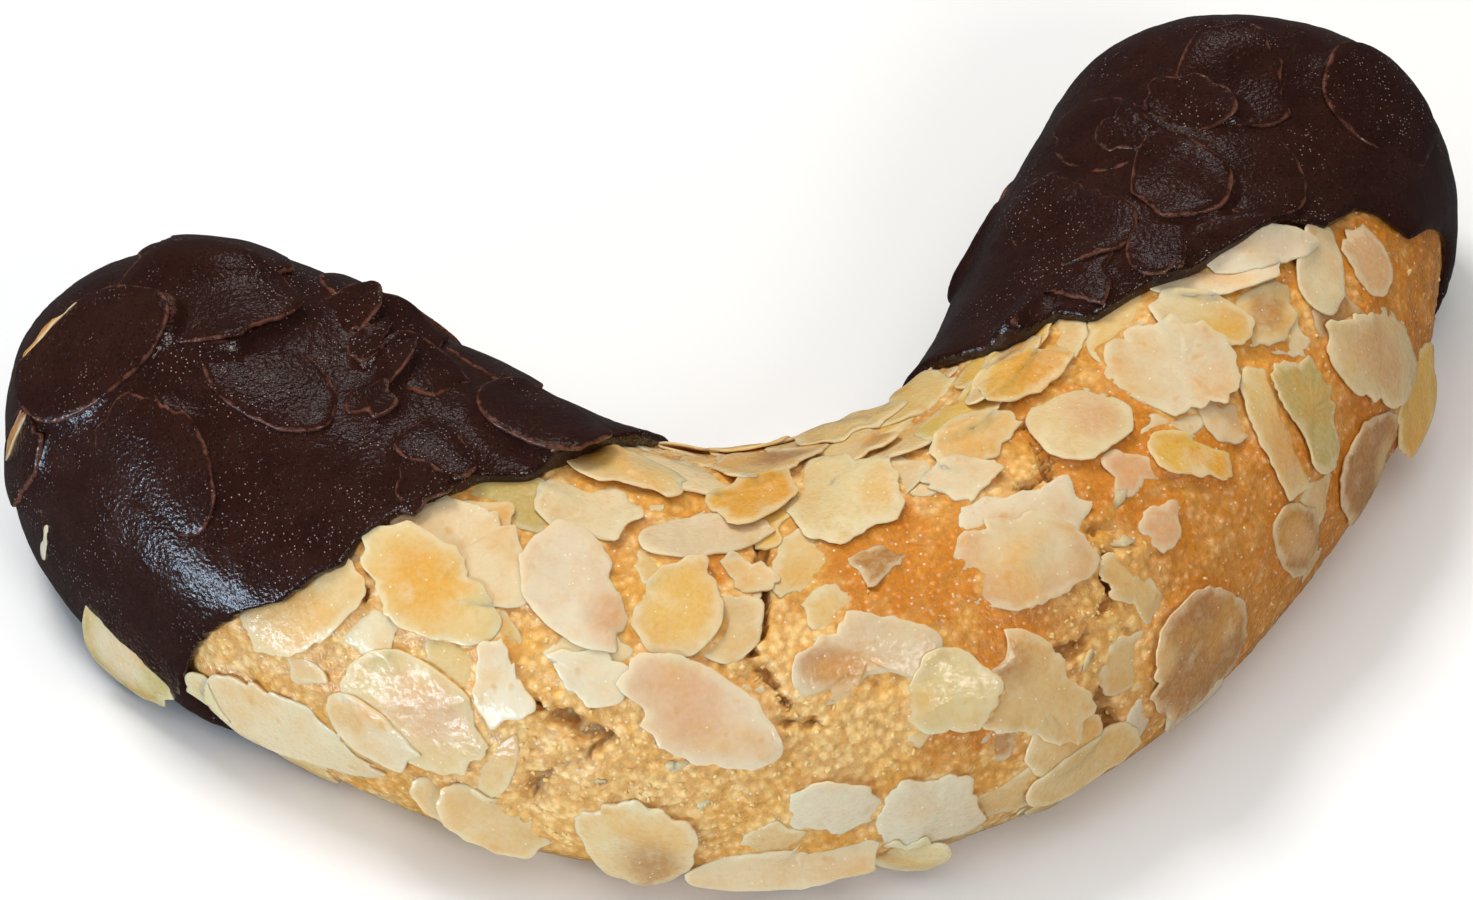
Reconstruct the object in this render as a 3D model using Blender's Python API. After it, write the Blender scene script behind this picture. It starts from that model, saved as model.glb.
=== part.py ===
"""Almond horn: a crescent of baked almond dough rolled in flaked almonds, its tips dipped in dark chocolate.

Three solids: the crescent with its almond flakes fused on, and one chocolate coat over each tip.
The horn lies flat with its bay towards +Y. A place on it is given by two numbers: along, the way
along its spine from the middle (left is negative), and around, the angle round its section, from
0 degrees on the outside of the bend over the crown at 90 to the inside at 180.
"""
import math
import random

import bmesh
import bpy
import numpy as np

MM = 0.001

# The crescent, from its left tip to its right tip
SPINE_LENGTH = 157.0 * MM
SPINE_MIDDLE = (-0.92 * MM, -17.8 * MM)
SPINE_HEADING = (-65, -54, -37, 0, 40, 56, 67)
HALF_WIDTH = np.array((15.2, 17.6, 18.0, 18.1, 18.0, 19.2, 15.9)) * MM
HEIGHT = np.array((27.1, 25.4, 24.4, 24.7, 25.9)) * MM
LEFT_TIP_ROUNDING = 26.0 * MM
RIGHT_TIP_ROUNDING = 12.0 * MM
WAIST_SHARE = 0.3
FLAT_BASE = 1.08
CROWN_ROUNDNESS = 2.3
BASE_ROUNDNESS = 3.2
TIP_PLAN_ROUNDNESS = 2.4
TIP_HEIGHT_ROUNDNESS = 2.4
TIP_BASE_ROUNDNESS = 8.0
STATIONS = 42
SIDES = 24
TIP_CROWDING = 0.35

# Unevenness of the hand-rolled dough
LUMP_SEED = 7
LUMP_COUNT = 44
LUMP_RADIUS = (5.0 * MM, 9.0 * MM)
LUMP_DEPTH = (-0.6 * MM, 0.5 * MM)
LUMP_ALONG = (-70, 70)
LUMP_AROUND = (15, 172)
LUMP_FADE = 0.3

# Chocolate coats
COAT_GAP = 0.35 * MM
COAT_THICKNESS = 0.9 * MM
COAT_FOOT_RAMP = 1.5 * MM
LINE_CLEARANCE = 0.5 * MM
LINE_STEP = 2.6 * MM
CROSSING_MARGIN = 2.5 * MM
BAY_HALF_GAP = 2.0 * MM
ZONE_REACH = 80.0 * MM
ZONE_BELOW = 10.0 * MM
ZONE_ABOVE = 45.0 * MM

# The dip line seen from above, x and y in mm: chocolate covers what lies beyond it in +Y
DIP_LINE = (
    (-74, 14), (-64, 6), (-60.5, 1.5), (-58, -2), (-56, -6), (-52, -8.4), (-46, -10.6), (-41, -10.4),
    (-37, -8.4), (-32, -7.4), (-28, -6.3), (-24, -6.9), (-20, -5), (-14, -1.2), (-9, 3), (-4, 7),
    (4, 8), (10, 6), (13, 2), (16, 0), (20, -0.8), (23, 1), (26, -0.6), (30, 1), (35, 1.7),
    (40, 3.5), (44, 5.2), (48, 5), (52, 7.4), (57, 6.4), (60, 9), (64, 13), (74, 22),
)

# Almond flakes
FLAKE_RISE = 0.55 * MM
FLAKE_ROOT = 0.9 * MM
FLAKE_STIFFNESS = 0.35
LARGE_FLAKE = 9.0 * MM
COATED_RISE = 0.3 * MM
COATED_SHOULDER = 0.72
COATED_SHOULDER_HEIGHT = 0.45
FLAKE_CORNERS = {"whole": 10, "broken": 9, "chip": 6, "sliver": 7}
FLAKE_ROUGHNESS = {"whole": 0.03, "broken": 0.08, "chip": 0.2, "sliver": 0.1}
FLAKE_POINTEDNESS = 0.22
CORNER_WANDER = 0.15
BROKEN_SHAPES = ("broken", "sliver")
BREAK_PLACE = (0.45, 0.7)
BREAK_WANDER = 0.08
LOWEST_FLAKE = 0.25 * MM
FLAT_ANGLE = math.radians(0.4)

# Flakes of the bare middle, each row: along, around, length, width, turn from the spine, lift, shape
BARE_FLAKES = (
    (-32, 46, 8, 5, 5, 0.1, "chip"), (-38, 43, 14, 7, 48, 0.2, "whole"),
    (-28.3, 78, 14, 9, -5, 0.3, "broken"), (-29, 61, 15, 9, -8, 0.6, "whole"),
    (-25.5, 28, 17, 10, -15, 0.3, "broken"), (-22.3, 41, 9, 6, -60, 0.7, "chip"),
    (-28.5, 19, 12, 5, -15, 0.8, "broken"), (-37, 8, 19, 7, -5, 0.5, "whole"),
    (-51, -14, 12, 8, 8, 1.0, "whole"), (-25, 0, 9, 4, -35, 0.5, "sliver"),
    (-22, -1, 12, 5, -35, 0.9, "sliver"), (-14, 0, 11, 11, 0, 0.8, "broken"),
    (-25, 92, 12, 6, -10, 0.1, "broken"), (-18.5, 95, 9, 6, 0, 0.2, "chip"),
    (-19, 106, 14, 7, 5, 0.7, "broken"), (-17, 57, 10, 5, -15, 0.2, "chip"),
    (-17.5, 49, 8, 5, 0, 0.4, "chip"), (-19, 71, 12, 9, -35, 0.6, "whole"),
    (-12.5, 73, 10, 8.5, 50, 0.4, "whole"), (-8, 68, 7.5, 5.5, 30, 0.2, "whole"),
    (-7.5, 81, 6, 4.5, -10, 0.3, "chip"), (-10.5, 44, 15, 9.5, -15, 0.7, "whole"),
    (-10, 91, 13, 4.5, 5, 0.2, "sliver"), (-7, 98, 9, 5, 15, 0.6, "broken"),
    (-4.5, 112, 10, 5, 5, 0.5, "sliver"), (1, 98, 12, 8.5, 10, 0.6, "broken"),
    (2.5, 81, 7, 5, -20, 0.2, "chip"), (-1.5, 70, 7, 5, 30, 0.1, "chip"),
    (0, 56, 13, 7, 0, 0.4, "whole"), (4.8, 38, 9, 7.5, -20, 0.7, "whole"),
    (-3, 12, 9, 7, 0, 0.4, "whole"), (2.5, 8, 10, 9, -30, 0.6, "broken"),
    (-5, -5, 19, 5, 3, 0.6, "sliver"), (-5, -16, 10, 5, 0, 0.3, "broken"),
    (1, -13, 7, 4.5, 8, 0.7, "whole"), (8.5, 27, 13, 9, -70, 0.4, "broken"),
    (7, 3, 9, 6, 0, 0.2, "chip"), (12, 2, 13, 5, 5, 0.5, "sliver"),
    (10.5, 12, 8, 6, -10, 0.2, "whole"), (14, 76, 12, 5.5, -5, 0.2, "broken"),
    (12, 65, 14, 9.5, 0, 0.5, "whole"), (10.5, 93, 8, 6, -40, 0.6, "chip"),
    (17.5, 43, 8, 4.5, -70, 0.2, "whole"), (19.5, 8, 14, 12, 0, 0.9, "whole"),
    (23, 69, 6, 4.5, -40, 0.3, "chip"), (22.5, 53, 7, 4, 5, 0.2, "chip"),
    (28, 61, 8, 5, 10, 0.3, "broken"), (21.5, 84, 10, 7, -15, 0.4, "broken"),
    (6.5, 119, 10, 6, 10, 0.4, "broken"), (13, 112, 12, 5, 5, 0.3, "sliver"),
    (19, 109, 13, 5, 5, 0.5, "sliver"), (16, 98, 9, 5.5, -10, 0.5, "broken"),
    (25, 99, 10, 5.5, 10, 0.7, "broken"), (28.5, 113, 11, 4, 0, 0.5, "sliver"),
    (33, 76, 14, 11, -45, 0.6, "broken"), (39.5, 67, 7, 5.5, -20, 0.3, "whole"),
    (43, 80, 15, 6, -45, 0.5, "broken"), (31.5, 44, 13, 5, -80, 0.5, "sliver"),
    (37, 40, 12, 7, -75, 0.8, "broken"), (31, 14, 9, 5.5, -75, 0.3, "whole"),
    (40, 10, 11, 9, 20, 0.6, "whole"), (46.5, 31, 13, 11, 10, 0.5, "whole"),
    (47.5, 60, 9, 5.5, -80, 0.4, "broken"), (50.5, 50, 8, 5, -70, 0.5, "broken"),
    (49, 2, 10, 8, 0, 1.2, "whole"), (9, 136, 11, 7, 10, 1.0, "broken"),
    (18, 133, 12, 6, 5, 0.8, "broken"),
)
# Flakes that show as relief under the left and the right coat
COATED_FLAKES = (
    (-67, 22, 11, 6, 85, 0.2, "broken"), (-53, 52, 14, 11, -35, 0.1, "whole"),
    (-38.5, 67, 9, 7, -30, 0.1, "whole"), (-50, 82, 13, 9, 5, 0.4, "whole"),
    (-62.5, 66, 16, 9.5, 65, 0.5, "whole"), (-65, 113, 14, 8, 12, 0.8, "broken"),
    (-60.5, 93, 18, 9.5, 5, 0.8, "whole"), (-50, 113, 6, 4, -10, 0.7, "chip"),
    (-47, 104, 7, 4, -60, 1.0, "chip"), (-43.5, 107, 7, 4, -70, 0.9, "chip"),
    (-40, 116, 8, 5.5, 0, 0.5, "broken"), (-36.5, 92, 9, 6, -15, 0.5, "whole"),
    (-33.5, 82, 7, 4, 5, 0.6, "chip"), (-28, 109, 13, 8, -5, 0.6, "broken"),
    (-52, 134, 11, 8, 5, 0.2, "broken"), (-37, 134, 11, 7, 0, 0.2, "broken"),
    (45, 91, 12, 7, -20, 0.4, "broken"), (51.5, 77, 11, 7, -5, 0.2, "whole"),
    (52, 99, 9, 8, 30, 0.8, "whole"), (46, 118, 13, 10, 60, 0.6, "whole"),
    (57.5, 84, 11, 9, 20, 0.3, "whole"), (65, 58, 10, 9, -80, 0.4, "whole"),
    (55, 118, 10, 6, 70, 0.3, "broken"), (60, 134, 10, 7, 60, 0.4, "whole"),
    (46, 148, 10, 8, 70, 0.4, "broken"), (67, 110, 11, 9, 20, 0.5, "whole"),
    (70, 84, 11, 8, 70, 0.3, "whole"), (36, 108, 7, 6, 0, 0.6, "chip"),
)
# Flakes that no view of the front shows: first and last along, spacing, and the around range
HIDDEN_SEED = 23
HIDDEN_WANDER = 1.5
HIDDEN_LENGTH = (8, 12)
HIDDEN_WIDTH = (5, 8)
HIDDEN_TURN = (-60, 60)
HIDDEN_LIFT = (0.1, 0.6)
HIDDEN_BARE = ((-24, 30, 7.0, 150, 176), (-20, 20, 9.0, 196, 206))
HIDDEN_COATED = ((-64, -34, 10.0, 158, 178), (40, 68, 10.0, 168, 182), (56, 70, 9.0, 12, 30))

DOUGH_COLOR = (0.78, 0.50, 0.20, 1.0)
DOUGH_ROUGHNESS = 0.5
CHOCOLATE_COLOR = (0.035, 0.014, 0.008, 1.0)
CHOCOLATE_ROUGHNESS = 0.3
SMOOTH_ANGLE = math.radians(35)


def through(values, share):
    """Smooth curve through values spaced evenly over share 0 to 1."""
    values = np.asarray(values, float)
    last = len(values) - 1
    place = np.clip(np.asarray(share, float), 0.0, 1.0) * last
    index = np.minimum(place.astype(int), last - 1)
    t = place - index
    ends = np.concatenate([[2 * values[0] - values[1]], values, [2 * values[-1] - values[-2]]])
    a, b, c, d = (ends[index + k] for k in range(4))
    return 0.5 * (2 * b + (c - a) * t + (2 * a - 5 * b + 4 * c - d) * t**2 + (3 * b - 3 * c + d - a) * t**3)


def spine_curve(samples=801):
    """The spine as even samples: along, heading, x and y."""
    heading = np.radians(through(SPINE_HEADING, np.linspace(0, 1, samples)))
    step = SPINE_LENGTH / (samples - 1)
    turn = (heading[1:] + heading[:-1]) / 2
    x = np.concatenate([[0], np.cumsum(np.cos(turn) * step)])
    y = np.concatenate([[0], np.cumsum(np.sin(turn) * step)])
    middle = samples // 2
    along = np.linspace(-0.5, 0.5, samples) * SPINE_LENGTH
    return along, heading, x + SPINE_MIDDLE[0] - x[middle], y + SPINE_MIDDLE[1] - y[middle]


SPINE = spine_curve()


def dip_line(x):
    """y of the dip line at x."""
    points = np.array(DIP_LINE) * MM
    return np.interp(x, points[:, 0], points[:, 1])


def make_lumps():
    """Seeded bumps and hollows of the dough: along, around, radius and depth."""
    draw = random.Random(LUMP_SEED)
    return [(draw.uniform(*LUMP_ALONG) * MM, math.radians(draw.uniform(*LUMP_AROUND)),
             draw.uniform(*LUMP_RADIUS), draw.uniform(*LUMP_DEPTH)) for _ in range(LUMP_COUNT)]


LUMPS = make_lumps()


def unevenness(along, around):
    """Height of the lumps, none of them on the flat base."""
    total = np.zeros(np.shape(along))
    arm = float(np.mean(HALF_WIDTH))
    for place, angle, radius, depth in LUMPS:
        far = ((along - place) / radius) ** 2 + ((around - angle) * arm / radius) ** 2
        total = total + depth * np.exp(-far)
    return total * np.clip(np.sin(around) + LUMP_FADE, 0.0, 1.0)


def dough_foot(x, y):
    """Height of the dough's base: on the table in the middle, and raised by the coat under the tips."""
    beyond = np.clip((y - dip_line(x)) / COAT_FOOT_RAMP + 1.0, 0.0, 1.0)
    return (COAT_GAP + COAT_THICKNESS) * beyond * beyond * (3 - 2 * beyond)


def surface(along, around, grow=0.0):
    """Points of the crescent grown outwards; its base is at dough_foot, less what it has grown."""
    along, around = np.broadcast_arrays(np.asarray(along, float), np.asarray(around, float))
    stations, headings, spine_x, spine_y = SPINE
    half = SPINE_LENGTH / 2
    inside = np.clip(along, -half, half)
    heading = np.interp(inside, stations, headings)
    share = inside / SPINE_LENGTH + 0.5
    rounding = np.where(along < 0, LEFT_TIP_ROUNDING, RIGHT_TIP_ROUNDING) + grow
    tip = np.clip(1 - (half + grow - np.abs(along)) / rounding, 0.0, 1.0)
    plan = np.sqrt(1 - tip**TIP_PLAN_ROUNDNESS)
    rise = np.sqrt(1 - tip**TIP_HEIGHT_ROUNDNESS)
    sink = np.sqrt(1 - tip**TIP_BASE_ROUNDNESS)
    swell = unevenness(along, around) + grow
    width = (through(HALF_WIDTH, share) + swell) * plan
    full = through(HEIGHT, share) + swell
    cosine, sine = np.cos(around), np.sin(around)
    power = np.where(sine >= 0, 2 / CROWN_ROUNDNESS, 2 / BASE_ROUNDNESS)
    across = -width * np.sign(cosine) * np.abs(cosine) ** power
    lift = np.abs(sine) ** power
    crown = WAIST_SHARE + (1 - WAIST_SHARE) * lift * rise
    base = WAIST_SHARE * (1 - np.minimum(1.0, FLAT_BASE * lift * sink))
    height = full * np.where(sine >= 0, crown, base)
    x = np.interp(inside, stations, spine_x) + np.cos(heading) * (along - inside) - np.sin(heading) * across
    y = np.interp(inside, stations, spine_y) + np.sin(heading) * (along - inside) + np.cos(heading) * across
    foot = np.maximum(dough_foot(x, y) - grow, 0.0)
    return np.stack([x, y, height + foot * (1 - height / full)], -1)


def frame_at(along, around, grow=0.0):
    """Surface point, its directions along and around with their lengths per unit, and its normal."""
    step, turn = 0.2 * MM, 0.01
    point = surface(along, around, grow)
    run = (surface(along + step, around, grow) - surface(along - step, around, grow)) / (2 * step)
    swing = (surface(along, around + turn, grow) - surface(along, around - turn, grow)) / (2 * turn)
    run_length = np.linalg.norm(run, axis=-1, keepdims=True)
    swing_length = np.linalg.norm(swing, axis=-1, keepdims=True)
    normal = np.cross(run, swing)
    normal /= np.linalg.norm(normal, axis=-1, keepdims=True)
    return point, run / run_length, swing / swing_length, run_length, swing_length, normal


def new_object(name, points, faces):
    """Mesh object of points and faces, in the scene."""
    mesh = bpy.data.meshes.new(name)
    mesh.from_pydata([tuple(map(float, p)) for p in points], [], faces)
    mesh.update()
    made = bpy.data.objects.new(name, mesh)
    bpy.context.scene.collection.objects.link(made)
    return made


def crescent(name, grow):
    """Loft of the crescent's sections from tip to tip."""
    t = np.linspace(-1, 1, STATIONS + 2)
    crowded = (1 - TIP_CROWDING) * t + TIP_CROWDING * np.sin(t * math.pi / 2)
    along = crowded * (SPINE_LENGTH / 2 + grow)
    around = np.radians(90.0) + np.linspace(0, 2 * math.pi, SIDES, endpoint=False)
    rings = surface(along[1:-1, None], around[None, :], grow)
    tips = surface(along[[0, -1]], np.array([0.0, 0.0]), grow)
    points = list(rings.reshape(-1, 3)) + list(tips)
    faces = []
    for ring in range(STATIONS - 1):
        for side in range(SIDES):
            a, b = ring * SIDES + side, ring * SIDES + (side + 1) % SIDES
            faces.append((a, a + SIDES, b + SIDES, b))
    first, last = STATIONS * SIDES, STATIONS * SIDES + 1
    for side in range(SIDES):
        a, b = side, (side + 1) % SIDES
        end = (STATIONS - 1) * SIDES
        faces.append((first, a, b))
        faces.append((last, end + b, end + a))
    return new_object(name, points, faces)


def flake_outline(length, width, shape, draw):
    """Corner points of a flake's outline in its own plane, ordered round its middle."""
    corners = FLAKE_CORNERS[shape] + (length > LARGE_FLAKE)
    broken = shape in BROKEN_SHAPES
    cut = draw.uniform(*BREAK_PLACE) if broken else 1.0
    roughness = FLAKE_ROUGHNESS[shape]
    points = []
    for corner in range(corners):
        angle = 2 * math.pi * (corner + draw.uniform(-CORNER_WANDER, CORNER_WANDER)) / corners
        size = 1 + draw.uniform(-roughness, roughness)
        p = math.cos(angle) * size
        q = math.sin(angle) * size * (1 - FLAKE_POINTEDNESS * math.cos(angle))
        if broken:
            p = min(p, cut + draw.uniform(-BREAK_WANDER, BREAK_WANDER))
        points.append((p * length / 2, q * width / 2))
    return np.array(points)


def under_flake(flake, p, q, grow):
    """Place of p, q of a flake's sheet: its steps along and round the spine, the surface point and normal."""
    _, _, _, run_length, swing_length, _ = frame_at(flake["along"], flake["around"], grow)
    forward = p * math.cos(flake["turn"]) - q * math.sin(flake["turn"])
    sideways = p * math.sin(flake["turn"]) + q * math.cos(flake["turn"])
    limit = SPINE_LENGTH / 2
    along = np.clip(flake["along"] + forward / run_length[0], -limit, limit)
    point, _, _, _, _, normal = frame_at(along, flake["around"] + sideways / swing_length[0], grow)
    return forward, sideways, point, normal


def on_flake(flake, p, q, height, grow):
    """Point p, q of a flake's sheet at a height over the surface, partly bent to it."""
    forward, sideways, point, outward = under_flake(flake, p, q, grow)
    middle, run, swing, _, _, normal = frame_at(flake["along"], flake["around"], grow)
    bent = point + outward * height
    stiff = middle + run * forward + swing * sideways + normal * height
    return bent * (1 - FLAKE_STIFFNESS) + stiff * FLAKE_STIFFNESS


def on_root(flake, p, q, grow):
    """Point under p, q of a flake, sunk into what it lies on."""
    _, _, point, outward = under_flake(flake, p, q, grow)
    return point - outward * FLAKE_ROOT


def in_coat(point, margin):
    """Whether a point lies within margin of the dipped zone."""
    return abs(point[0]) > BAY_HALF_GAP and point[1] > dip_line(point[0]) - margin


def flake_solid(name, flake, coated):
    """One flake as a closed plate rooted in what it lies on; a coated one has a rounded shoulder."""
    grow = COAT_GAP + COAT_THICKNESS if coated else 0.0
    top = (COATED_RISE if coated else FLAKE_RISE) + flake["lift"]
    outline = flake["outline"]
    count = len(outline)
    rings = [[on_root(flake, p, q, grow) for p, q in outline]]
    if coated:
        rings.append([on_flake(flake, p, q, top * COATED_SHOULDER_HEIGHT, grow) for p, q in outline])
        inner = outline * COATED_SHOULDER
    else:
        inner = outline
    rings.append([on_flake(flake, p, q, top, grow) for p, q in inner])
    points = [point for ring in rings for point in ring]
    points += [on_root(flake, 0.0, 0.0, grow), on_flake(flake, 0.0, 0.0, top, grow)]
    bottom, crown = len(points) - 2, len(points) - 1
    faces = []
    for corner in range(count):
        after = (corner + 1) % count
        faces.append((bottom, after, corner))
        for ring in range(len(rings) - 1):
            low, high = ring * count, (ring + 1) * count
            faces.append((low + corner, low + after, high + after, high + corner))
        faces.append((crown, bottom - count + corner, bottom - count + after))
    return new_object(name, keep_off_table(points), faces)


def bare_flake_solids(flakes):
    """The bare flakes; those that reach into a coat are joined first and then cut at its edge."""
    clear, crossing = [], {-1: [], 1: []}
    for flake in flakes:
        solid = flake_solid("flake", flake, False)
        crosses = any(in_coat(corner.co, LINE_CLEARANCE) for corner in solid.data.vertices)
        side = -1 if flake["along"] < 0 else 1
        (crossing[side] if crosses else clear).append(solid)
    for side, solids in crossing.items():
        fuse(solids[0], solids[1:])
        combine(solids[0], dip_zone(side, LINE_CLEARANCE), "DIFFERENCE")
        clear.append(solids[0])
    return clear


def keep_off_table(points):
    """The points with none below the horn's base."""
    return [np.array((p[0], p[1], max(p[2], LOWEST_FLAKE))) for p in points]


def listed_flakes(rows, draw):
    """Flakes of a table, in metres and radians, each with its outline."""
    flakes = []
    for along, around, length, width, turn, lift, shape in rows:
        flakes.append({
            "along": along * MM, "around": math.radians(around), "turn": math.radians(turn),
            "lift": lift * MM, "outline": flake_outline(length * MM, width * MM, shape, draw)})
    return flakes


def scattered_rows(ranges, draw):
    """Rows for the sides that the front does not show."""
    rows = []
    for first, last, spacing, low, high in ranges:
        for place in np.arange(first, last, spacing):
            rows.append((place + draw.uniform(-HIDDEN_WANDER, HIDDEN_WANDER), draw.uniform(low, high),
                         draw.uniform(*HIDDEN_LENGTH), draw.uniform(*HIDDEN_WIDTH),
                         draw.uniform(*HIDDEN_TURN), draw.uniform(*HIDDEN_LIFT),
                         draw.choice(("whole", "broken"))))
    return rows


def apply_modifiers(made):
    """Turn an object's modifiers into its mesh."""
    graph = bpy.context.evaluated_depsgraph_get()
    mesh = bpy.data.meshes.new_from_object(made.evaluated_get(graph))
    made.modifiers.clear()
    made.data = mesh


def fuse(base, pieces):
    """Join pieces to the base with one Boolean union and remove them."""
    group = bpy.data.collections.new("pieces")
    bpy.context.scene.collection.children.link(group)
    for piece in pieces:
        bpy.context.scene.collection.objects.unlink(piece)
        group.objects.link(piece)
    union = base.modifiers.new("fuse", "BOOLEAN")
    union.operation = "UNION"
    union.solver = "MANIFOLD"
    union.operand_type = "COLLECTION"
    union.collection = group
    apply_modifiers(base)
    for piece in pieces:
        bpy.data.objects.remove(piece)
    bpy.data.collections.remove(group)


def combine(base, other, operation):
    """Cut the base by another object, which is then removed."""
    cut = base.modifiers.new("cut", "BOOLEAN")
    cut.operation = operation
    cut.solver = "MANIFOLD"
    cut.object = other
    apply_modifiers(base)
    bpy.data.objects.remove(other)


def islands(mesh):
    """The connected groups of a bmesh's faces."""
    left = set(mesh.faces)
    groups = []
    while left:
        edge = [left.pop()]
        group = list(edge)
        while edge:
            face = edge.pop()
            for corner in face.verts:
                for other in corner.link_faces:
                    if other in left:
                        left.remove(other)
                        edge.append(other)
                        group.append(other)
        groups.append(group)
    return groups


def volume_of(faces):
    """Signed volume enclosed by triangles."""
    total = 0.0
    for face in faces:
        a, b, c = (corner.co for corner in face.verts)
        total += a.dot(b.cross(c)) / 6
    return total


def keep_largest(made):
    """Keep the body and drop loose scraps and sealed hollows."""
    mesh = bmesh.new()
    mesh.from_mesh(made.data)
    bmesh.ops.dissolve_limit(mesh, angle_limit=FLAT_ANGLE, verts=mesh.verts, edges=mesh.edges)
    bmesh.ops.triangulate(mesh, faces=mesh.faces)
    groups = sorted(islands(mesh), key=volume_of)
    scraps = [face for group in groups[:-1] for face in group]
    bmesh.ops.delete(mesh, geom=scraps, context="FACES")
    mesh.to_mesh(made.data)
    mesh.free()


def dip_zone(side, margin=0.0):
    """Prism over all that lies beyond the dip line, less a margin, on one side: -1 left or 1 right."""
    steps = int((ZONE_REACH - BAY_HALF_GAP) / LINE_STEP) + 1
    reach = np.linspace(BAY_HALF_GAP, ZONE_REACH, steps) * side
    edge = [(x, float(dip_line(x)) - margin) for x in reach]
    edge += [(side * ZONE_REACH, ZONE_REACH), (side * BAY_HALF_GAP, ZONE_REACH)]
    if side > 0:
        corners = edge
    else:
        corners = edge[::-1]
    count = len(corners)
    points = [(x, y, -ZONE_BELOW) for x, y in corners] + [(x, y, ZONE_ABOVE) for x, y in corners]
    faces = [tuple(range(count))[::-1], tuple(range(count, 2 * count))]
    faces += [(k, (k + 1) % count, (k + 1) % count + count, k + count) for k in range(count)]
    return new_object("dip_zone", points, faces)


def make_body(draw):
    """The dough with its bare flakes."""
    body = crescent("almond_horn_body", 0.0)
    rows = BARE_FLAKES + tuple(scattered_rows(HIDDEN_BARE, draw))
    flakes = listed_flakes(rows, draw)
    fuse(body, bare_flake_solids(flakes))
    keep_largest(body)
    return body


def make_coat(name, side, draw):
    """One chocolate coat: a shell over the dough, with flakes in relief, cut at the dip line."""
    coat = crescent(name, COAT_GAP + COAT_THICKNESS)
    rows = COATED_FLAKES + tuple(scattered_rows(HIDDEN_COATED, draw))
    rows += tuple(row for row in BARE_FLAKES if crosses_line(row))
    flakes = listed_flakes([row for row in rows if row[0] * side > 0], draw)
    fuse(coat, [flake_solid("flake", flake, True) for flake in flakes])
    combine(coat, dip_zone(side), "INTERSECT")
    combine(coat, crescent("core", COAT_GAP), "DIFFERENCE")
    keep_largest(coat)
    return coat


def crosses_line(row):
    """Whether a bare flake's middle lies so near the dip line that the coat covers a part of it."""
    point = surface(row[0] * MM, math.radians(row[1]))
    return in_coat(point, CROSSING_MARGIN)


def paint(made, name, color, roughness):
    """Give an object its own material and smooth shading."""
    material = bpy.data.materials.new(name)
    material.use_nodes = True
    shader = material.node_tree.nodes["Principled BSDF"]
    shader.inputs["Base Color"].default_value = color
    shader.inputs["Roughness"].default_value = roughness
    shader.inputs["Metallic"].default_value = 0.0
    made.data.materials.clear()
    made.data.materials.append(material)
    made.data.shade_smooth()
    made.data.set_sharp_from_angle(angle=SMOOTH_ANGLE)


def main():
    """Build the horn."""
    for old in list(bpy.data.objects):
        bpy.data.objects.remove(old)
    body = make_body(random.Random(HIDDEN_SEED))
    left = make_coat("chocolate_left", -1, random.Random(HIDDEN_SEED + 1))
    right = make_coat("chocolate_right", 1, random.Random(HIDDEN_SEED + 2))
    paint(body, "almond_dough", DOUGH_COLOR, DOUGH_ROUGHNESS)
    paint(left, "chocolate_left", CHOCOLATE_COLOR, CHOCOLATE_ROUGHNESS)
    paint(right, "chocolate_right", CHOCOLATE_COLOR, CHOCOLATE_ROUGHNESS)


main()
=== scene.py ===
"""Almond horn: a crescent of baked almond dough under flaked almonds, with both tips in dark chocolate.

A place on the horn is given by two numbers, as in the part: along, the way along its spine from the middle
(left is negative), and around, the angle round its section, from 0 degrees on the outside of the bend over
the crown at 90 to the inside at 180.
"""
import math
import random
from collections import namedtuple
from functools import cache
from types import SimpleNamespace

import bpy
import numpy as np
from bpy.props import FloatProperty, FloatVectorProperty, IntProperty, PointerProperty
from mathutils import Matrix, noise


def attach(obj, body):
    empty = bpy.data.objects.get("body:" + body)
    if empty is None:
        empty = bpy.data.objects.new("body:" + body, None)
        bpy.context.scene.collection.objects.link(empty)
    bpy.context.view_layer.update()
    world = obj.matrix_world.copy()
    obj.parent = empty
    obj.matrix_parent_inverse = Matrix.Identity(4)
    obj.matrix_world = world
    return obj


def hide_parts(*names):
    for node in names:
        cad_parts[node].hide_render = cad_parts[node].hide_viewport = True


bl_info = {
    "name": "Almond Horn",
    "version": (1, 0, 0),
    "blender": (4, 5, 0),
    "location": "3D View > Sidebar > Almond Horn",
    "description": "Builds the baked dough, almond flakes, crumbs and chocolate coats of an almond horn",
    "category": "Add Mesh",
}

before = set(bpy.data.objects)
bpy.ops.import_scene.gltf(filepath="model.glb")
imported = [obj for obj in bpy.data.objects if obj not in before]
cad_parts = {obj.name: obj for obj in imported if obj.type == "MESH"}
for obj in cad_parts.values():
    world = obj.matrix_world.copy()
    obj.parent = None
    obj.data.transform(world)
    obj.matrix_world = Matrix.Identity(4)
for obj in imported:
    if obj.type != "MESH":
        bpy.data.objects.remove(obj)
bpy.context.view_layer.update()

MM = 0.001

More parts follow.
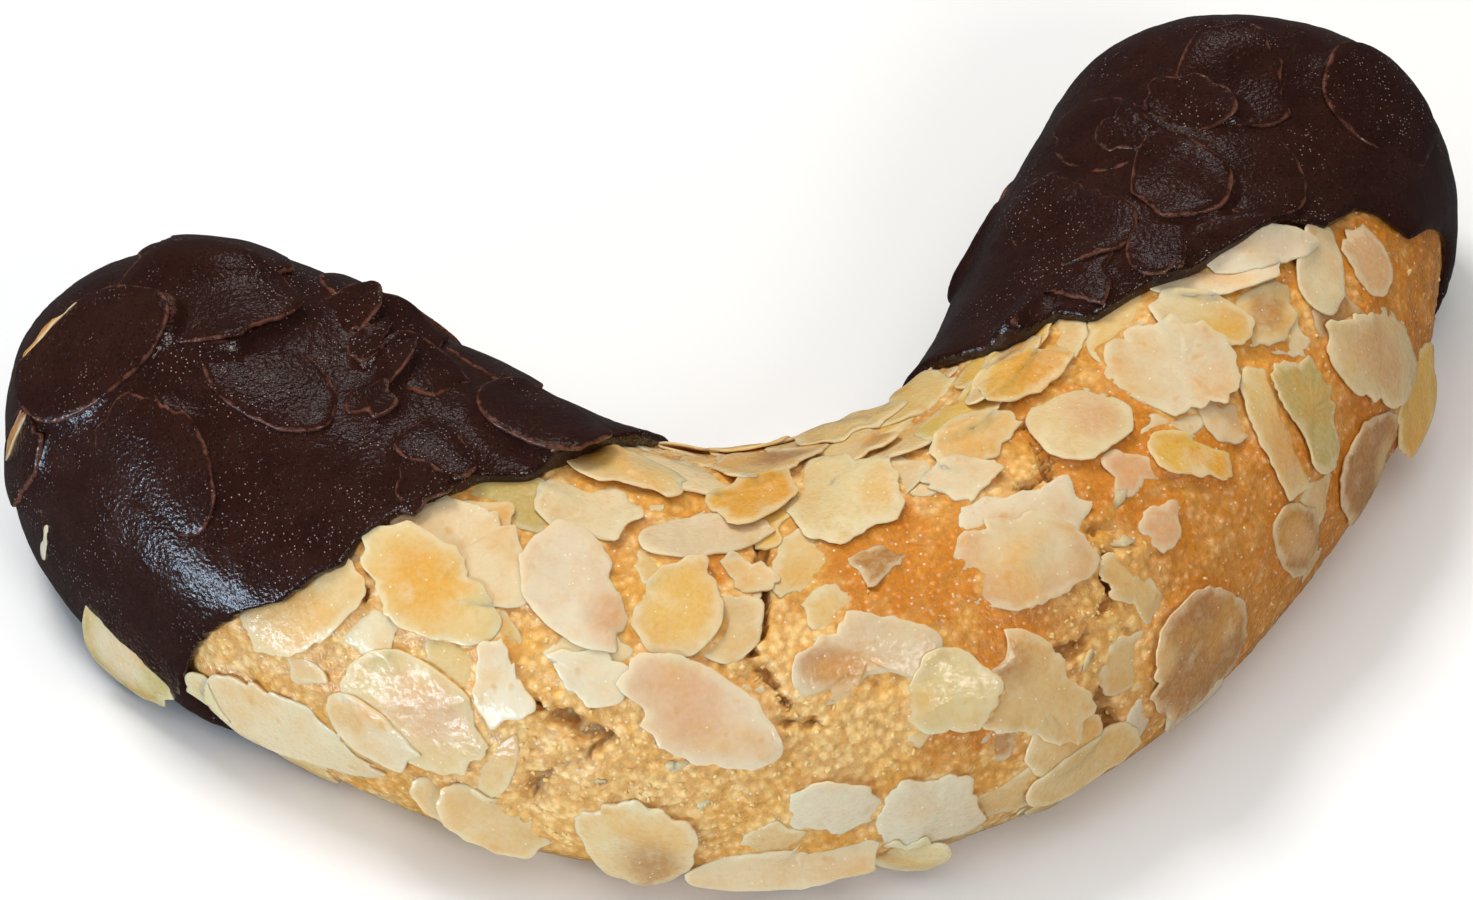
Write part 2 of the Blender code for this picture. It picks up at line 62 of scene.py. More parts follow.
# The crescent, from its left tip to its right tip
SPINE_LENGTH = 157.0 * MM
SPINE_MIDDLE = (-0.92 * MM, -17.8 * MM)
SPINE_HEADING = (-65, -54, -37, 0, 40, 56, 67)
HALF_WIDTH = np.array((15.2, 17.6, 18.0, 18.1, 18.0, 19.2, 15.9)) * MM
HEIGHT = np.array((27.1, 25.4, 24.4, 24.7, 25.9)) * MM
TIP = SPINE_LENGTH / 2
LEFT_TIP_ROUNDING = 26.0 * MM
RIGHT_TIP_ROUNDING = 12.0 * MM
WAIST_SHARE = 0.3
FLAT_BASE = 1.08
CROWN_ROUNDNESS = 2.3
BASE_ROUNDNESS = 3.2
TIP_PLAN_ROUNDNESS = 2.4
TIP_HEIGHT_ROUNDNESS = 2.4
TIP_BASE_ROUNDNESS = 8.0
ARM_RADIUS = float(np.mean(HALF_WIDTH))

# Unevenness of the hand-rolled dough
LUMP_SEED = 7
LUMP_COUNT = 44
LUMP_RADIUS = (5.0 * MM, 9.0 * MM)
LUMP_DEPTH = (-0.6 * MM, 0.5 * MM)
LUMP_ALONG = (-70, 70)
LUMP_AROUND = (15, 172)
LUMP_FADE = 0.3

# Chocolate coats over the dough
COAT_GAP = 0.35 * MM
COAT_THICKNESS = 0.9 * MM
COAT_TOP = COAT_GAP + COAT_THICKNESS
COAT_FOOT_RAMP = 1.5 * MM

# The dip line seen from above, x and y in mm: chocolate covers what lies beyond it in +Y
DIP_LINE = (
    (-74, 14), (-64, 6), (-60.5, 1.5), (-58, -2), (-56, -6), (-52, -8.4), (-46, -10.6), (-41, -10.4),
    (-37, -8.4), (-32, -7.4), (-28, -6.3), (-24, -6.9), (-20, -5), (-14, -1.2), (-9, 3), (-4, 7),
    (4, 8), (10, 6), (13, 2), (16, 0), (20, -0.8), (23, 1), (26, -0.6), (30, 1), (35, 1.7),
    (40, 3.5), (44, 5.2), (48, 5), (52, 7.4), (57, 6.4), (60, 9), (64, 13), (74, 22),
)

# Tones of almond from white to brown, as linear colours. Olive and tan are partly painted shade: darker
# tones given to flakes that lie in shadow, beside their real colour
TONES = {
    "white": (0.78, 0.63, 0.41), "ivory": (0.76, 0.57, 0.31), "cream": (0.75, 0.50, 0.21),
    "yellow": (0.78, 0.455, 0.085), "gold": (0.77, 0.35, 0.035), "tan": (0.45, 0.205, 0.055),
    "pink": (0.70, 0.395, 0.19), "olive": (0.55, 0.42, 0.13), "brown": (0.30, 0.09, 0.018),
}

# Flakes of the bare middle. Each row: along, around, length, width, turn from the spine, lift, shape and
# tone, in mm and degrees. Then where there are any: patch, a second tone with its place on the flake from -1
# to 1 both ways and its size; tilt, the side that stands up as an angle on the flake and by how many mm;
# breaks, torn sides as an angle and a share of the half size there; bite, a round notch with its place and
# radius as shares of the half length
BARE_FLAKES = (
    (-32, 46, 8, 5, 5, 0.1, "chip", "white"),
    (-38, 43, 14, 7, 48, 0.2, "whole", "cream", {"tilt": (-80, 0.4)}),
    (-28.6, 74, 14.2, 8.8, -12, 0.3, "torn", "ivory",
     {"patch": ("brown", -0.75, -0.45, 0.32), "breaks": ((100, 0.72), (165, 0.85)), "tilt": (90, 0.4)}),
    (-29.7, 61, 14.2, 7.6, -12, 0.6, "whole", "cream",
     {"patch": ("gold", -0.1, 0.0, 0.6), "tilt": (200, 0.4)}),
    (-27.4, 25, 15.4, 9.3, -6, 0.3, "torn", "cream",
     {"patch": ("pink", 0.1, 0.2, 0.5), "breaks": ((-25, 0.82), (35, 0.9)), "tilt": (-60, 0.4)}),
    (-22.3, 41, 9, 6, -60, 0.7, "chip", "white", {"tilt": (0, 0.4)}),
    (-29.9, 14.5, 11.5, 4.8, -12, 0.8, "broken", "ivory",
     {"patch": ("gold", 0.0, 0.9, 0.35), "tilt": (-90, 0.4)}),
    (-37, 3, 18.5, 7.4, 3, 0.5, "whole", "ivory", {"tilt": (200, 0.5)}),
    (-44.2, -1, 7.5, 4.2, 12, 0.9, "chip", "ivory", {"tilt": (180, 0.9)}),
    (-37.5, -18, 13, 5, -4, 0.2, "broken", "cream", {"tilt": (-90, 0.5)}),
    (-25, 0, 9, 4, -35, 0.5, "sliver", "cream", {"tilt": (-90, 0.8)}),
    (-22, -1, 12, 5, -35, 0.9, "sliver", "cream", {"tilt": (-90, 1.0)}),
    (-13.9, 3, 10.2, 11.8, 20, 0.8, "torn", "ivory",
     {"patch": ("tan", 0.0, -0.5, 0.5), "breaks": ((95, 0.72), (50, 0.85)), "tilt": (-60, 0.4)}),
    (-26, 91, 10.5, 5.8, -9, 0.1, "whole", "olive"),
    (-20.8, 94, 10.2, 6.2, -16, 0.4, "torn", "ivory",
     {"breaks": ((0, 0.8), (-80, 0.8)), "tilt": (-30, 0.5)}),
    (-19.2, 108, 11.4, 6, -14, 0.75, "torn", "cream",
     {"patch": ("gold", -0.6, 0.2, 0.5), "breaks": ((0, 0.9), (-70, 0.85)), "tilt": (-90, 0.5)}),
    (-17, 57, 10, 5, -15, 0.2, "chip", "ivory"),
    (-17.2, 50, 8, 5, 0, 0.4, "chip", "white"),
    (-15.5, 114, 13, 6, -22, 0.6, "torn", "ivory",
     {"breaks": ((0, 0.85), (180, 0.85)), "tilt": (-90, 0.4)}),
    (-19.2, 72, 12.6, 7.4, -39, 0.6, "whole", "white",
     {"patch": ("pink", 0.6, 0.4, 0.5), "tilt": (180, 0.4)}),
    (-12.1, 73, 9.8, 6.8, 80, 0.7, "torn", "cream",
     {"patch": ("yellow", 0.0, 0.0, 0.7), "breaks": ((30, 0.9), (-60, 0.9)), "tilt": (-90, 0.4)}),
    (-8.6, 68, 6.8, 5, 54, 0.35, "whole", "cream", {"tilt": (-60, 0.3)}),
    (-7.5, 81, 6, 4.5, -10, 0.3, "chip", "cream"),
    (-10.6, 43, 14.6, 7.8, -23, 0.7, "whole", "white",
     {"patch": ("pink", -0.2, 0.25, 0.6), "tilt": (-60, 0.45)}),
    (-9.9, 92, 13, 4.3, 15, 0.2, "sliver", "ivory"),
    (-6.2, 103, 9.5, 5, 28, 0.75, "torn", "yellow",
     {"patch": ("gold", 0.0, 0.0, 0.9), "breaks": ((0, 0.8), (180, 0.8)), "tilt": (-90, 0.5)}),
    (-3.6, 121, 11, 6, 18, 0.65, "torn", "cream",
     {"patch": ("tan", 0.1, 0.0, 0.5), "breaks": ((180, 0.9), (-60, 0.9)), "tilt": (-90, 0.6)}),
    (2.2, 101, 10.5, 10.5, -8, 0.6, "torn", "ivory",
     {"breaks": ((0, 0.85), (60, 0.9), (-70, 0.9), (170, 0.9)), "tilt": (-60, 0.5)}),
    (2.5, 81, 7, 5, -20, 0.2, "chip", "tan"),
    (-1.5, 70, 7, 5, 30, 0.1, "chip", "cream"),
    (-0.2, 55, 12.6, 7, 0, 0.4, "whole", "ivory",
     {"patch": ("tan", -0.5, 0.0, 0.4), "bite": (0.15, -0.62, 0.42), "tilt": (90, 0.45)}),
    (4.6, 39, 8.4, 7.2, -23, 0.7, "whole", "ivory", {"tilt": (-10, 0.45)}),
    (-2.9, 12, 8.2, 6.2, 0, 0.4, "whole", "white", {"tilt": (90, 0.4)}),
    (2.7, 6, 10.2, 9.4, -31, 0.6, "torn", "white", {"breaks": ((110, 0.7), (40, 0.75)), "tilt": (60, 0.5)}),
    (-5.1, -6, 19, 2.8, 3, 1.0, "sliver", "ivory", {"tilt": (-90, 1.1)}),
    (-5, -18, 9, 5, 0, 0.3, "broken", "gold", {"tilt": (-90, 1.2)}),
    (1, -13, 7, 4.5, 8, 0.9, "whole", "ivory", {"tilt": (-60, 1.2)}),
    (9.1, 30, 14.2, 8.8, -58, 0.4, "torn", "cream",
     {"patch": ("tan", -0.7, 0.2, 0.4), "breaks": ((80, 0.8), (-70, 0.75), (20, 0.9)),
      "bite": (-0.95, 0.05, 0.34), "tilt": (90, 0.4)}),
    (7, 3, 11, 6, 0, 0.2, "chip", "cream"),
    (12, 2, 13, 5, 5, 0.5, "sliver", "cream", {"tilt": (-90, 0.6)}),
    (10.5, 12, 8, 6, -10, 0.2, "whole", "cream"),
    (14, 76, 12, 7.5, -5, 0.2, "torn", "white", {"breaks": ((80, 0.7), (-10, 0.85)), "tilt": (60, 0.4)}),
    (12.2, 67, 12.6, 8.2, -21, 0.5, "whole", "pink",
     {"patch": ("ivory", 0.0, 0.25, 0.65), "tilt": (0, 0.3)}),
    (11.8, 90, 8.5, 6, -40, 0.6, "chip", "ivory", {"tilt": (0, 0.6)}),
    (17.5, 43, 7.5, 4, -70, 0.2, "broken", "cream"),
    (20.3, 13, 13.6, 11, -34, 0.9, "whole", "tan",
     {"patch": ("cream", -0.9, -0.1, 0.3), "tilt": (160, 0.4)}),
    (23, 69, 6, 4.5, -40, 0.3, "chip", "pink"),
    (22.5, 53, 7, 4, 5, 0.2, "chip", "pink"),
    (27.3, 59, 8.8, 4.6, -56, 0.55, "torn", "yellow",
     {"patch": ("gold", 0.4, 0.0, 0.6), "breaks": ((-80, 0.7), (0, 0.8)), "tilt": (-80, 0.6)}),
    (23.6, 87, 9.2, 8.2, -46, 0.5, "torn", "ivory", {"patch": ("pink", 0.2, 0.2, 0.5), "tilt": (-90, 0.4)}),
    (6.5, 119, 10, 6, 10, 0.4, "broken", "cream", {"patch": ("tan", 0.4, -0.3, 0.4), "tilt": (-90, 0.5)}),
    (13, 112, 12, 5, 5, 0.3, "sliver", "cream", {"tilt": (-90, 0.6)}),
    (19, 109, 13, 5, 5, 0.5, "sliver", "yellow", {"tilt": (-90, 0.7)}),
    (16, 98, 9, 5.5, -10, 0.5, "torn", "cream", {"breaks": ((-70, 0.7), (0, 0.8)), "tilt": (-60, 0.5)}),
    (25.2, 104, 10.2, 4.8, -10, 0.8, "whole", "yellow",
     {"patch": ("gold", 0.2, -0.1, 0.7), "tilt": (-90, 0.6)}),
    (25, 110, 12, 3.6, 4, 0.6, "sliver", "cream", {"patch": ("tan", 0.2, 0.2, 0.4), "tilt": (-90, 0.6)}),
    (31.2, 117, 5.5, 1.8, 6, 1.3, "sliver", "white", {"tilt": (-90, 0.9)}),
    (28.5, 113, 11, 4, 0, 0.5, "sliver", "yellow", {"tilt": (-90, 0.5)}),
    (32.9, 77, 12, 10, -95, 0.65, "torn", "ivory",
     {"patch": ("white", 0.1, 0.0, 0.6),
      "breaks": ((35, 0.82), (-35, 0.78), (-85, 0.85), (95, 0.85), (160, 0.85)),
      "tilt": (20, 0.5)}),
    (41.8, 67, 7.5, 5.2, -20, 0.4, "whole", "cream", {"patch": ("tan", 0.0, 0.0, 0.5)}),
    (38.2, 78, 9.4, 5.7, -75, 0.6, "torn", "ivory",
     {"patch": ("yellow", 0.3, -0.3, 0.6), "breaks": ((-50, 0.85), (20, 0.85)), "tilt": (-70, 0.4)}),
    (42.8, 82, 12.2, 4.4, -57, 0.55, "torn", "white", {"breaks": ((0, 0.9),), "tilt": (-90, 0.6)}),
    (46.6, 76, 10.5, 4.2, -51, 0.7, "torn", "white", {"breaks": ((180, 0.9),), "tilt": (90, 0.6)}),
    (34.0, 43.5, 12.5, 5.6, -118, 0.5, "torn", "cream",
     {"patch": ("pink", 0.3, 0.0, 0.5), "breaks": ((90, 0.6), (0, 0.8)), "tilt": (-90, 0.5)}),
    (37.4, 41, 11.3, 7.2, -120, 0.8, "torn", "olive",
     {"breaks": ((180, 0.7), (-80, 0.75), (70, 0.85)), "tilt": (-60, 0.6)}),
    (31, 14, 9, 5.5, -75, 0.3, "whole", "tan", {"patch": ("pink", 0.0, 0.0, 0.5)}),
    (41, 8, 12, 9, -12, 0.6, "whole", "tan", {"patch": ("cream", 0.5, -0.4, 0.4), "tilt": (180, 0.5)}),
    (46.5, 30, 13.5, 9.5, -50, 0.5, "torn", "ivory",
     {"patch": ("pink", 0.0, 0.0, 0.5), "breaks": ((100, 0.8), (-90, 0.85)), "tilt": (-90, 0.6)}),
    (48.4, 60, 8.4, 5.2, 24, 0.4, "torn", "ivory", {"breaks": ((0, 0.85),)}),
    (52.4, 49, 7, 5.4, 58, 0.5, "broken", "pink"),
    (50.3, 1, 11, 8, 0, 1.2, "whole", "yellow", {"tilt": (-90, 1.3)}),
    (9, 136, 11, 7, 10, 1.0, "broken", "cream", {"tilt": (90, 0.6)}),
    (18, 133, 12, 6, 5, 0.8, "broken", "cream", {"tilt": (90, 0.6)}),
)
# Flakes that stick out bare through a coat, in the same way
BURSTING_FLAKES = (
    (-51.4, -8, 12, 7.5, -8, 0.9, "whole", "olive",
     {"patch": ("white", -0.3, 0.0, 0.5), "tilt": (-90, 1.5)}),
    (-68.6, 64, 11.5, 1.1, 80, 1.9, "sliver", "tan", {"tilt": (90, 0.1)}),
    (-67.3, 31, 9, 1.6, 80, 0.7, "torn", "brown", {"tilt": (-90, 0.3)}),
    (-61.8, 8, 6.5, 1.3, 80, 0.4, "sliver", "white", {"tilt": (-90, 0.1)}),
)
# Flakes under the coats, in the same way, but with the kind of their chocolate in place of a tone
COATED_FLAKES = (
    (-66, 24, 11, 7, 85, 0.3, "broken", "plate"),
    (-52.9, 53, 14.4, 9, -8, 0.0, "whole", "plate", {"tilt": (98, 0.95)}),
    (-39.5, 74, 11, 8, -25, 0.1, "whole", "soft"),
    (-49.9, 87, 13, 8.5, -4, 0.1, "torn", "plate", {"breaks": ((150, 0.85),), "tilt": (-50, 0.3)}),
    (-64.0, 64.5, 15.5, 9.8, 50, 0.95, "torn", "plate", {"breaks": ((118, 0.88),), "tilt": (118, 0.6)}),
    (-65.4, 113, 15, 9.5, 3, 0.3, "whole", "plate", {"tilt": (-90, 0.1)}),
    (-60.6, 94.5, 17.4, 12, 20, 0.6, "whole", "plate", {"tilt": (-60, 0.35)}),
    (-52, 116, 8, 5, -10, 0.4, "chip", "plate", {"tilt": (60, 0.9)}),
    (-47.5, 112, 7, 4, -60, 0.6, "chip", "plate", {"tilt": (0, 1.2)}),
    (-44, 106, 8, 4, -70, 0.6, "chip", "plate", {"tilt": (90, 1.1)}),
    (-41, 112, 9, 6, 0, 0.3, "broken", "plate", {"tilt": (180, 0.3)}),
    (-34.4, 92, 8.0, 5.2, -9, 0.35, "whole", "plate", {"tilt": (-90, 0.4)}),
    (-33.5, 82, 7, 4, 5, 0.4, "chip", "plate", {"tilt": (90, 0.3)}),
    (-28.3, 113, 13, 8, -10, 0.9, "torn", "plate", {"breaks": ((0, 0.9), (-20, 0.9)), "tilt": (-70, 0.4)}),
    (-52, 134, 11, 8, 5, 0.2, "broken", "plate"), (-37, 134, 11, 7, 0, 0.2, "broken", "plate"),
    (-46.5, 124, 9, 6, 30, 0.2, "broken", "plate"),
    (-42, 96, 5, 4, 40, 0.5, "chip", "plate", {"tilt": (20, 0.6)}),
    (43.8, 93, 9.5, 5.5, -8, 0.6, "torn", "plate", {"breaks": ((-90, 0.8), (0, 0.85)), "tilt": (-80, 0.6)}),
    (50, 74, 11, 7, -5, 0.1, "whole", "soft"),
    (50.5, 97, 9.5, 8, 30, 0.8, "torn", "plate", {"breaks": ((120, 0.85), (0, 0.85)), "tilt": (0, 0.5)}),
    (44.9, 121, 14, 10, 62, 0.4, "torn", "plate",
     {"breaks": ((-90, 0.75), (-20, 0.85)), "tilt": (-90, 0.8)}),
    (53.5, 84, 12, 9, 20, 0.2, "whole", "plate", {"tilt": (90, 0.3)}),
    (66.3, 54, 13, 10, -80, 0.2, "whole", "plate", {"tilt": (100, 0.35)}),
    (56, 112, 10, 6, 70, 0.3, "broken", "plate", {"tilt": (0, 0.4)}),
    (56, 122, 11, 8, 60, 0.2, "whole", "plate", {"tilt": (-90, 0.4)}),
    (46, 138, 11, 8, 70, 0.1, "broken", "soft"),
    (64, 94, 13, 10, 20, 0.3, "torn", "plate",
     {"breaks": ((-90, 0.75), (0, 0.8)), "tilt": (-60, 0.4)}),
    (70, 84, 11, 8, 70, 0.1, "whole", "soft"), (37, 106, 8, 6, 0, 0.3, "chip", "plate"),
    (60, 103, 9, 5, 75, 0.5, "broken", "plate", {"tilt": (-90, 0.7)}),
    (68, 108, 11, 8, 40, 0.1, "broken", "soft"),
)
# Flakes that no view of the front shows: first and last along, spacing, and the range of around
HIDDEN_SEED = 23
HIDDEN_BARE = ((-24, 30, 7.0, 150, 176), (-20, 20, 9.0, 196, 206))
HIDDEN_COATED = ((-64, -34, 10.0, 158, 178), (40, 68, 10.0, 168, 182))
HIDDEN_LENGTH, HIDDEN_WIDTH, HIDDEN_TURN, HIDDEN_LIFT = (8, 12), (5, 8), (-60, 60), (0.1, 0.6)
# Broken pieces that fill the room between the flakes and lie deepest; past the angle FILL_INNER they lie
# closer together and more in line with the spine, and can be narrower
FILL_SEED = 11
FILL_TRIES = 900
FILL_ALONG = (-43, 62)
FILL_AROUND = (-12, 172)
FILL_SPACING = 5.0 * MM
FILL_INNER = 92
FILL_INNER_SPACING = 0.75
FILL_LENGTH, FILL_LIFT = (5, 10), (0.0, 0.15)
FILL_TURN, FILL_INNER_TURN = (-90, 90), (-25, 25)
FILL_WIDTH, FILL_INNER_WIDTH = (0.5, 0.7), (0.4, 0.7)
FILL_DIP_MARGIN = 1.0 * MM
FILL_CRACK_MARGIN = 1.6 * MM
FILL_MOST_OPEN = 0.35
FILL_SHAPES = ("broken", "chip", "broken", "whole")
FILL_TONES = ("ivory", "cream", "cream", "cream", "yellow", "tan", "pink", "white")

# Cracks of the baked dough, each a line of along in mm and around in degrees
CRACKS = (
    ((-6.3, 90), (-6.3, 75), (-7.8, 61), (-5.8, 50), (-4.7, 41)),
    ((20.1, 93), (17.5, 85), (15.0, 84), (17.0, 68)),
    ((17.9, 60), (16.2, 47), (13.4, 38), (11.2, 37)),
    ((13.3, 21), (13.0, 8)),
    ((-20.8, 41), (-15.7, 34), (-18.5, 20), (-20.2, 9)),
    ((-36.8, 46), (-35.0, 52)),
)
CRACK_WIDTH = 0.45 * MM
NARROWEST_CRACK = 0.05 * MM
CRACK_UNEVENNESS, CRACK_UNEVENNESS_SIZE = 1.3, 2.4 * MM
CRACK_BREAKS, CRACK_BREAKS_SIZE = 1.6, 1.7 * MM
# Caramel patches of the glaze: along in mm, around in degrees, radius in mm and strength
TOASTED = (
    (4.4, 76, 5, 0.9), (10.3, 50, 4, 0.9), (22.6, 77, 5, 1.0), (24.9, 44, 8, 0.7), (24.3, 16, 7, 0.7),
    (56, 29, 9, 0.8), (4.3, 26, 3, 0.5), (-32.1, 70, 3, 0.6), (51.5, 58, 6, 0.6), (22.2, 61, 5, 0.7),
    (2.5, 87, 4, 0.8), (-11.1, 88, 3, 0.5), (24.4, 94, 3, 0.4), (1.5, 68, 3, 0.6), (40, 30, 8, 0.5),
)
# Patches of paler, crumblier dough, in the same way
CRUMBLY = (
    (-1.3, 36, 4, 1.0), (-18.7, 37, 5, 0.8), (-14.1, 46, 4, 0.8), (-10.5, 17, 6, 0.6), (-18.4, 8, 5, 0.6),
    (13.8, 34, 4, 1.0), (-35, 43, 4, 0.8), (16, 50, 4, 0.8), (-7, 60, 3, 0.8), (16, 80, 3, 0.6),
)

# Noises, each as layers of height in mm, size of its features in mm and seed; a lip's runs on a circle of
# some mm
CRACK_RAGGEDNESS = ((0.35, 1.1, 5.0), (0.2, 0.5, 9.0))
CRACK_BENDS = (((1.3, 3.2, 31.0),), ((1.3, 3.2, 47.0),))
NIBBLES = ((0.28, 1.7, 0.0), (0.2, 0.7, 3.0))
LIP_WANDER, LIP_CIRCLE = ((0.35, 2.5, 0.0), (0.2, 0.9, 6.0)), 18
COAT_WAVES = ((0.14, 5.0, 21.0), (0.06, 1.4, 8.0))
DOUGH_ROUGHNESS = ((0.3, 2.4, 3.0),)
FLAKE_RIPPLE, FLAKE_RIPPLE_SIZE = 0.08 * MM, 2.5 * MM

# The horn unrolled as a grid of heights, on which the flakes are laid, and by how many of its cells an area
# is widened before it is smoothed
STACK_STEP = 0.2 * MM
STACK_TURN = math.radians(0.6)
STACK_ALONG = np.arange(-82 * MM, 82 * MM, STACK_STEP)
STACK_AROUND = np.arange(math.radians(-120), math.radians(239.9), STACK_TURN)
WIDENING = 3
# How far a blur looks in its radii, and a flake's stamp in the flake's half size, with a share more around
BLUR_REACH = 2.5
STAMP_REACH, STAMP_STRETCH = 1.3, 1.4

# Outline of a flake: its swells as share of its size and number of waves, and how a break strays, as steps
# between turns and their size
REACH_ANGLES = np.radians(np.arange(-180, 180.1, 0.5))
FLAKE_POINTEDNESS = 0.22
FLAKE_SWELLS = ((0.025, 2), (0.02, 3), (0.012, 7))
BREAK_STRAY = ((1.2 * MM, 0.5 * MM), (0.5 * MM, 0.16 * MM))
BREAK_FACING = 0.05
SMALLEST_REACH = 0.6 * MM
OUTLINE_SPACING = 0.42 * MM
OUTLINE_POINTS = (28, 110)
# How much of their fraying shows on the outlines under chocolate
FRAYING = {"plate": 0.3, "soft": 0.3}

# A flake's sheet: rings from its middle to its edge, how it sinks into the dough, overlaps what it rests on,
# drapes over it and stays stiff
RINGS = (0.0, 0.2, 0.4, 0.58, 0.74, 0.87, 1.0)
SINK = 0.35 * MM
OVERLAP = 0.06 * MM
RESTING_LEVEL = 0.02 * MM
BARELY_UNDER = 0.1 * MM
DRAPE = 0.7
DRAPE_BLUR = 1.2 * MM
DRAPE_REACH = 14 * MM
FINEST_WAVES = 16.0
# How a flat sheet is tilted until it lies lowest: first reach of its slopes, rounds and slopes tried
SLOPE_REACH, SLOPE_ROUNDS, SLOPE_TRIES = 0.3, 6, (-1, -0.5, 0, 0.5, 1)
FLAKE_STIFFNESS = 0.35
LOWEST_FLAKE = 0.15 * MM
FLAKE_TIP_MARGIN = 0.5 * MM
# Rounded edge of a flake, as steps in from its outline and share of its thickness, with the size of a step,
# the most of the way in that a step takes, and how much thinner the flake is at its edge
EDGE_PROFILE = ((1.0, 1.0), (0.3, 0.82), (0.0, 0.45), (0.4, 0.1), (1.3, 0.0))
EDGE_ROUNDING = 0.1 * MM
EDGE_MOST, EDGE_THINNING = 0.2, 0.35
UNDERSIDE_RING = 0.6
# Where a bare flake meets a coat it dives under it: from how far beyond the dip line, how steeply, how deep
DIVE_START, DIVE_RAMP, DIVE_DEPTH = 0.4 * MM, 1.4 * MM, 1.6 * MM
# How far a flake's top stands over the dough and how fully it is lifted to that, and the chocolate over it
RISES = {"bare": (0.12 * MM, 0.6), "plate": (1.45 * MM, 1.0), "soft": (0.85 * MM, 1.0),
         "bursting": (0.9 * MM, 1.0)}
SKINS = {"bare": 0.35 * MM, "plate": -0.12 * MM, "soft": 0.5 * MM, "bursting": 0.0}

# Meshes of the dough and the coats: angles round a section that show and that are hidden, in degrees, and
# the lip of a coat as steps over its edge in mm and share of its thickness
SHOWN_TURNS = (-32, 212, 328)
HIDDEN_STEP = 5.0
DOUGH_OVERLAP = 3.0 * MM
DOUGH_FADE = 2.0 * MM
# Search along the horn for the dip line: where it starts, how far before the tip it ends, and its halvings
EDGE_START, EDGE_END, EDGE_HALVINGS = 3.0 * MM, 2.0 * MM, 26
# Browned flank of the right arm, browner also as painted shade on that side: where it starts and how soon it
# is full, and up to which angle
FLANK_START, FLANK_RAMP, FLANK_TOP = 12.0 * MM, 22.0 * MM, math.radians(75)
BROWN_FOOT = 5.0 * MM
LAST_LOOSE = math.radians(200)
# Dough that rises to the flakes' edges: its share of their height, the most of that, its smoothing and limit
BANK_SHARE, BANK_FLAKE, BANK_BLUR, BANK_MOST = 0.65, 1.2 * MM, 0.6 * MM, 0.5 * MM
COVER_BLUR = 0.5 * MM
TIP_ROWS = 16
INNER_ROWS = 14
LIP = ((0.2, 0.72), (0.3, 0.4), (0.15, 0.1), (-0.6, -0.1))
LIP_ROUNDING, LIP_DROP = 1.3 * MM, 0.45 * MM
INNER_WALL = 0.2 * MM
INNER_OVERLAP = 1.5 * MM
COAT_SWELL = 0.1 * MM
# How widely the chocolate smooths what it hides, how it bridges hollows and where it thins over rims
BARE_LIP_BLUR, SOFT_BLUR = 0.4 * MM, 0.8 * MM
BRIDGE_SHARE, BRIDGE_BLUR = 0.45, 1.3 * MM
CRISP_FROM, CRISP_RAMP = 0.15 * MM, 0.35 * MM
RIM_BLUR, RIM_RISE = 0.32 * MM, 0.11 * MM

# The photo's camera, with the pixel at which it shows the horn's middle
CAMERA_AZIMUTH = math.radians(-14.2)
CAMERA_ELEVATION = 0.91
PHOTO_SIZE = (1473, 900)
LENS_PIXELS = 5767.5
MIDDLE_PIXEL = (835.35, 717.84)
SENSOR_WIDTH = 36.0
HORN_MIDDLE = np.array((-0.9, -17.7, 0.0)) * MM
FLOOR_HALF = 3.0
WORLD_COLOR, WORLD_STRENGTH = (0.97, 0.98, 1.0), 0.06

# Limits of the red, green and blue of a colour
SHARE = {"min": 0.0, "max": 1.0}

Spot = namedtuple("Spot", "point run swing run_length swing_length normal")


def through(values, share):
    """Smooth curve through values spaced evenly over share 0 to 1."""
    values = np.asarray(values, float)
    last = len(values) - 1
    place = np.clip(np.asarray(share, float), 0.0, 1.0) * last
    index = np.minimum(place.astype(int), last - 1)
    t = place - index
    ends = np.concatenate([[2 * values[0] - values[1]], values, [2 * values[-1] - values[-2]]])
    a, b, c, d = (ends[index + k] for k in range(4))
    bend = (2 * a - 5 * b + 4 * c - d) * t**2 + (3 * b - 3 * c + d - a) * t**3
    return 0.5 * (2 * b + (c - a) * t + bend)


def spine_curve(samples=801):
    """The spine as even samples: along, heading, x and y."""
    heading = np.radians(through(SPINE_HEADING, np.linspace(0, 1, samples)))
    step = SPINE_LENGTH / (samples - 1)
    turn = (heading[1:] + heading[:-1]) / 2
    x = np.concatenate([[0], np.cumsum(np.cos(turn) * step)])
    y = np.concatenate([[0], np.cumsum(np.sin(turn) * step)])
    middle = samples // 2
    along = np.linspace(-0.5, 0.5, samples) * SPINE_LENGTH
    return along, heading, x + SPINE_MIDDLE[0] - x[middle], y + SPINE_MIDDLE[1] - y[middle]


def make_lumps():
    """Seeded bumps and hollows of the dough: along, around, radius and depth."""
    draw = random.Random(LUMP_SEED)
    return [(draw.uniform(*LUMP_ALONG) * MM, math.radians(draw.uniform(*LUMP_AROUND)),
             draw.uniform(*LUMP_RADIUS), draw.uniform(*LUMP_DEPTH)) for _ in range(LUMP_COUNT)]


SPINE = spine_curve()
LUMPS = make_lumps()


def smooth_step(value):
    """0 below 0, 1 above 1 and an easy rise between."""
    value = np.clip(value, 0.0, 1.0)
    return value * value * (3 - 2 * value)


def dip_line(x):
    """y of the dip line at x."""
    points = np.array(DIP_LINE) * MM
    return np.interp(x, points[:, 0], points[:, 1])


def unevenness(along, around):
    """Height of the lumps, none of them on the flat base."""
    total = np.zeros(np.shape(along))
    for place, angle, radius, depth in LUMPS:
        far = ((along - place) / radius) ** 2 + ((around - angle) * ARM_RADIUS / radius) ** 2
        total = total + depth * np.exp(-far)
    return total * np.clip(np.sin(around) + LUMP_FADE, 0.0, 1.0)


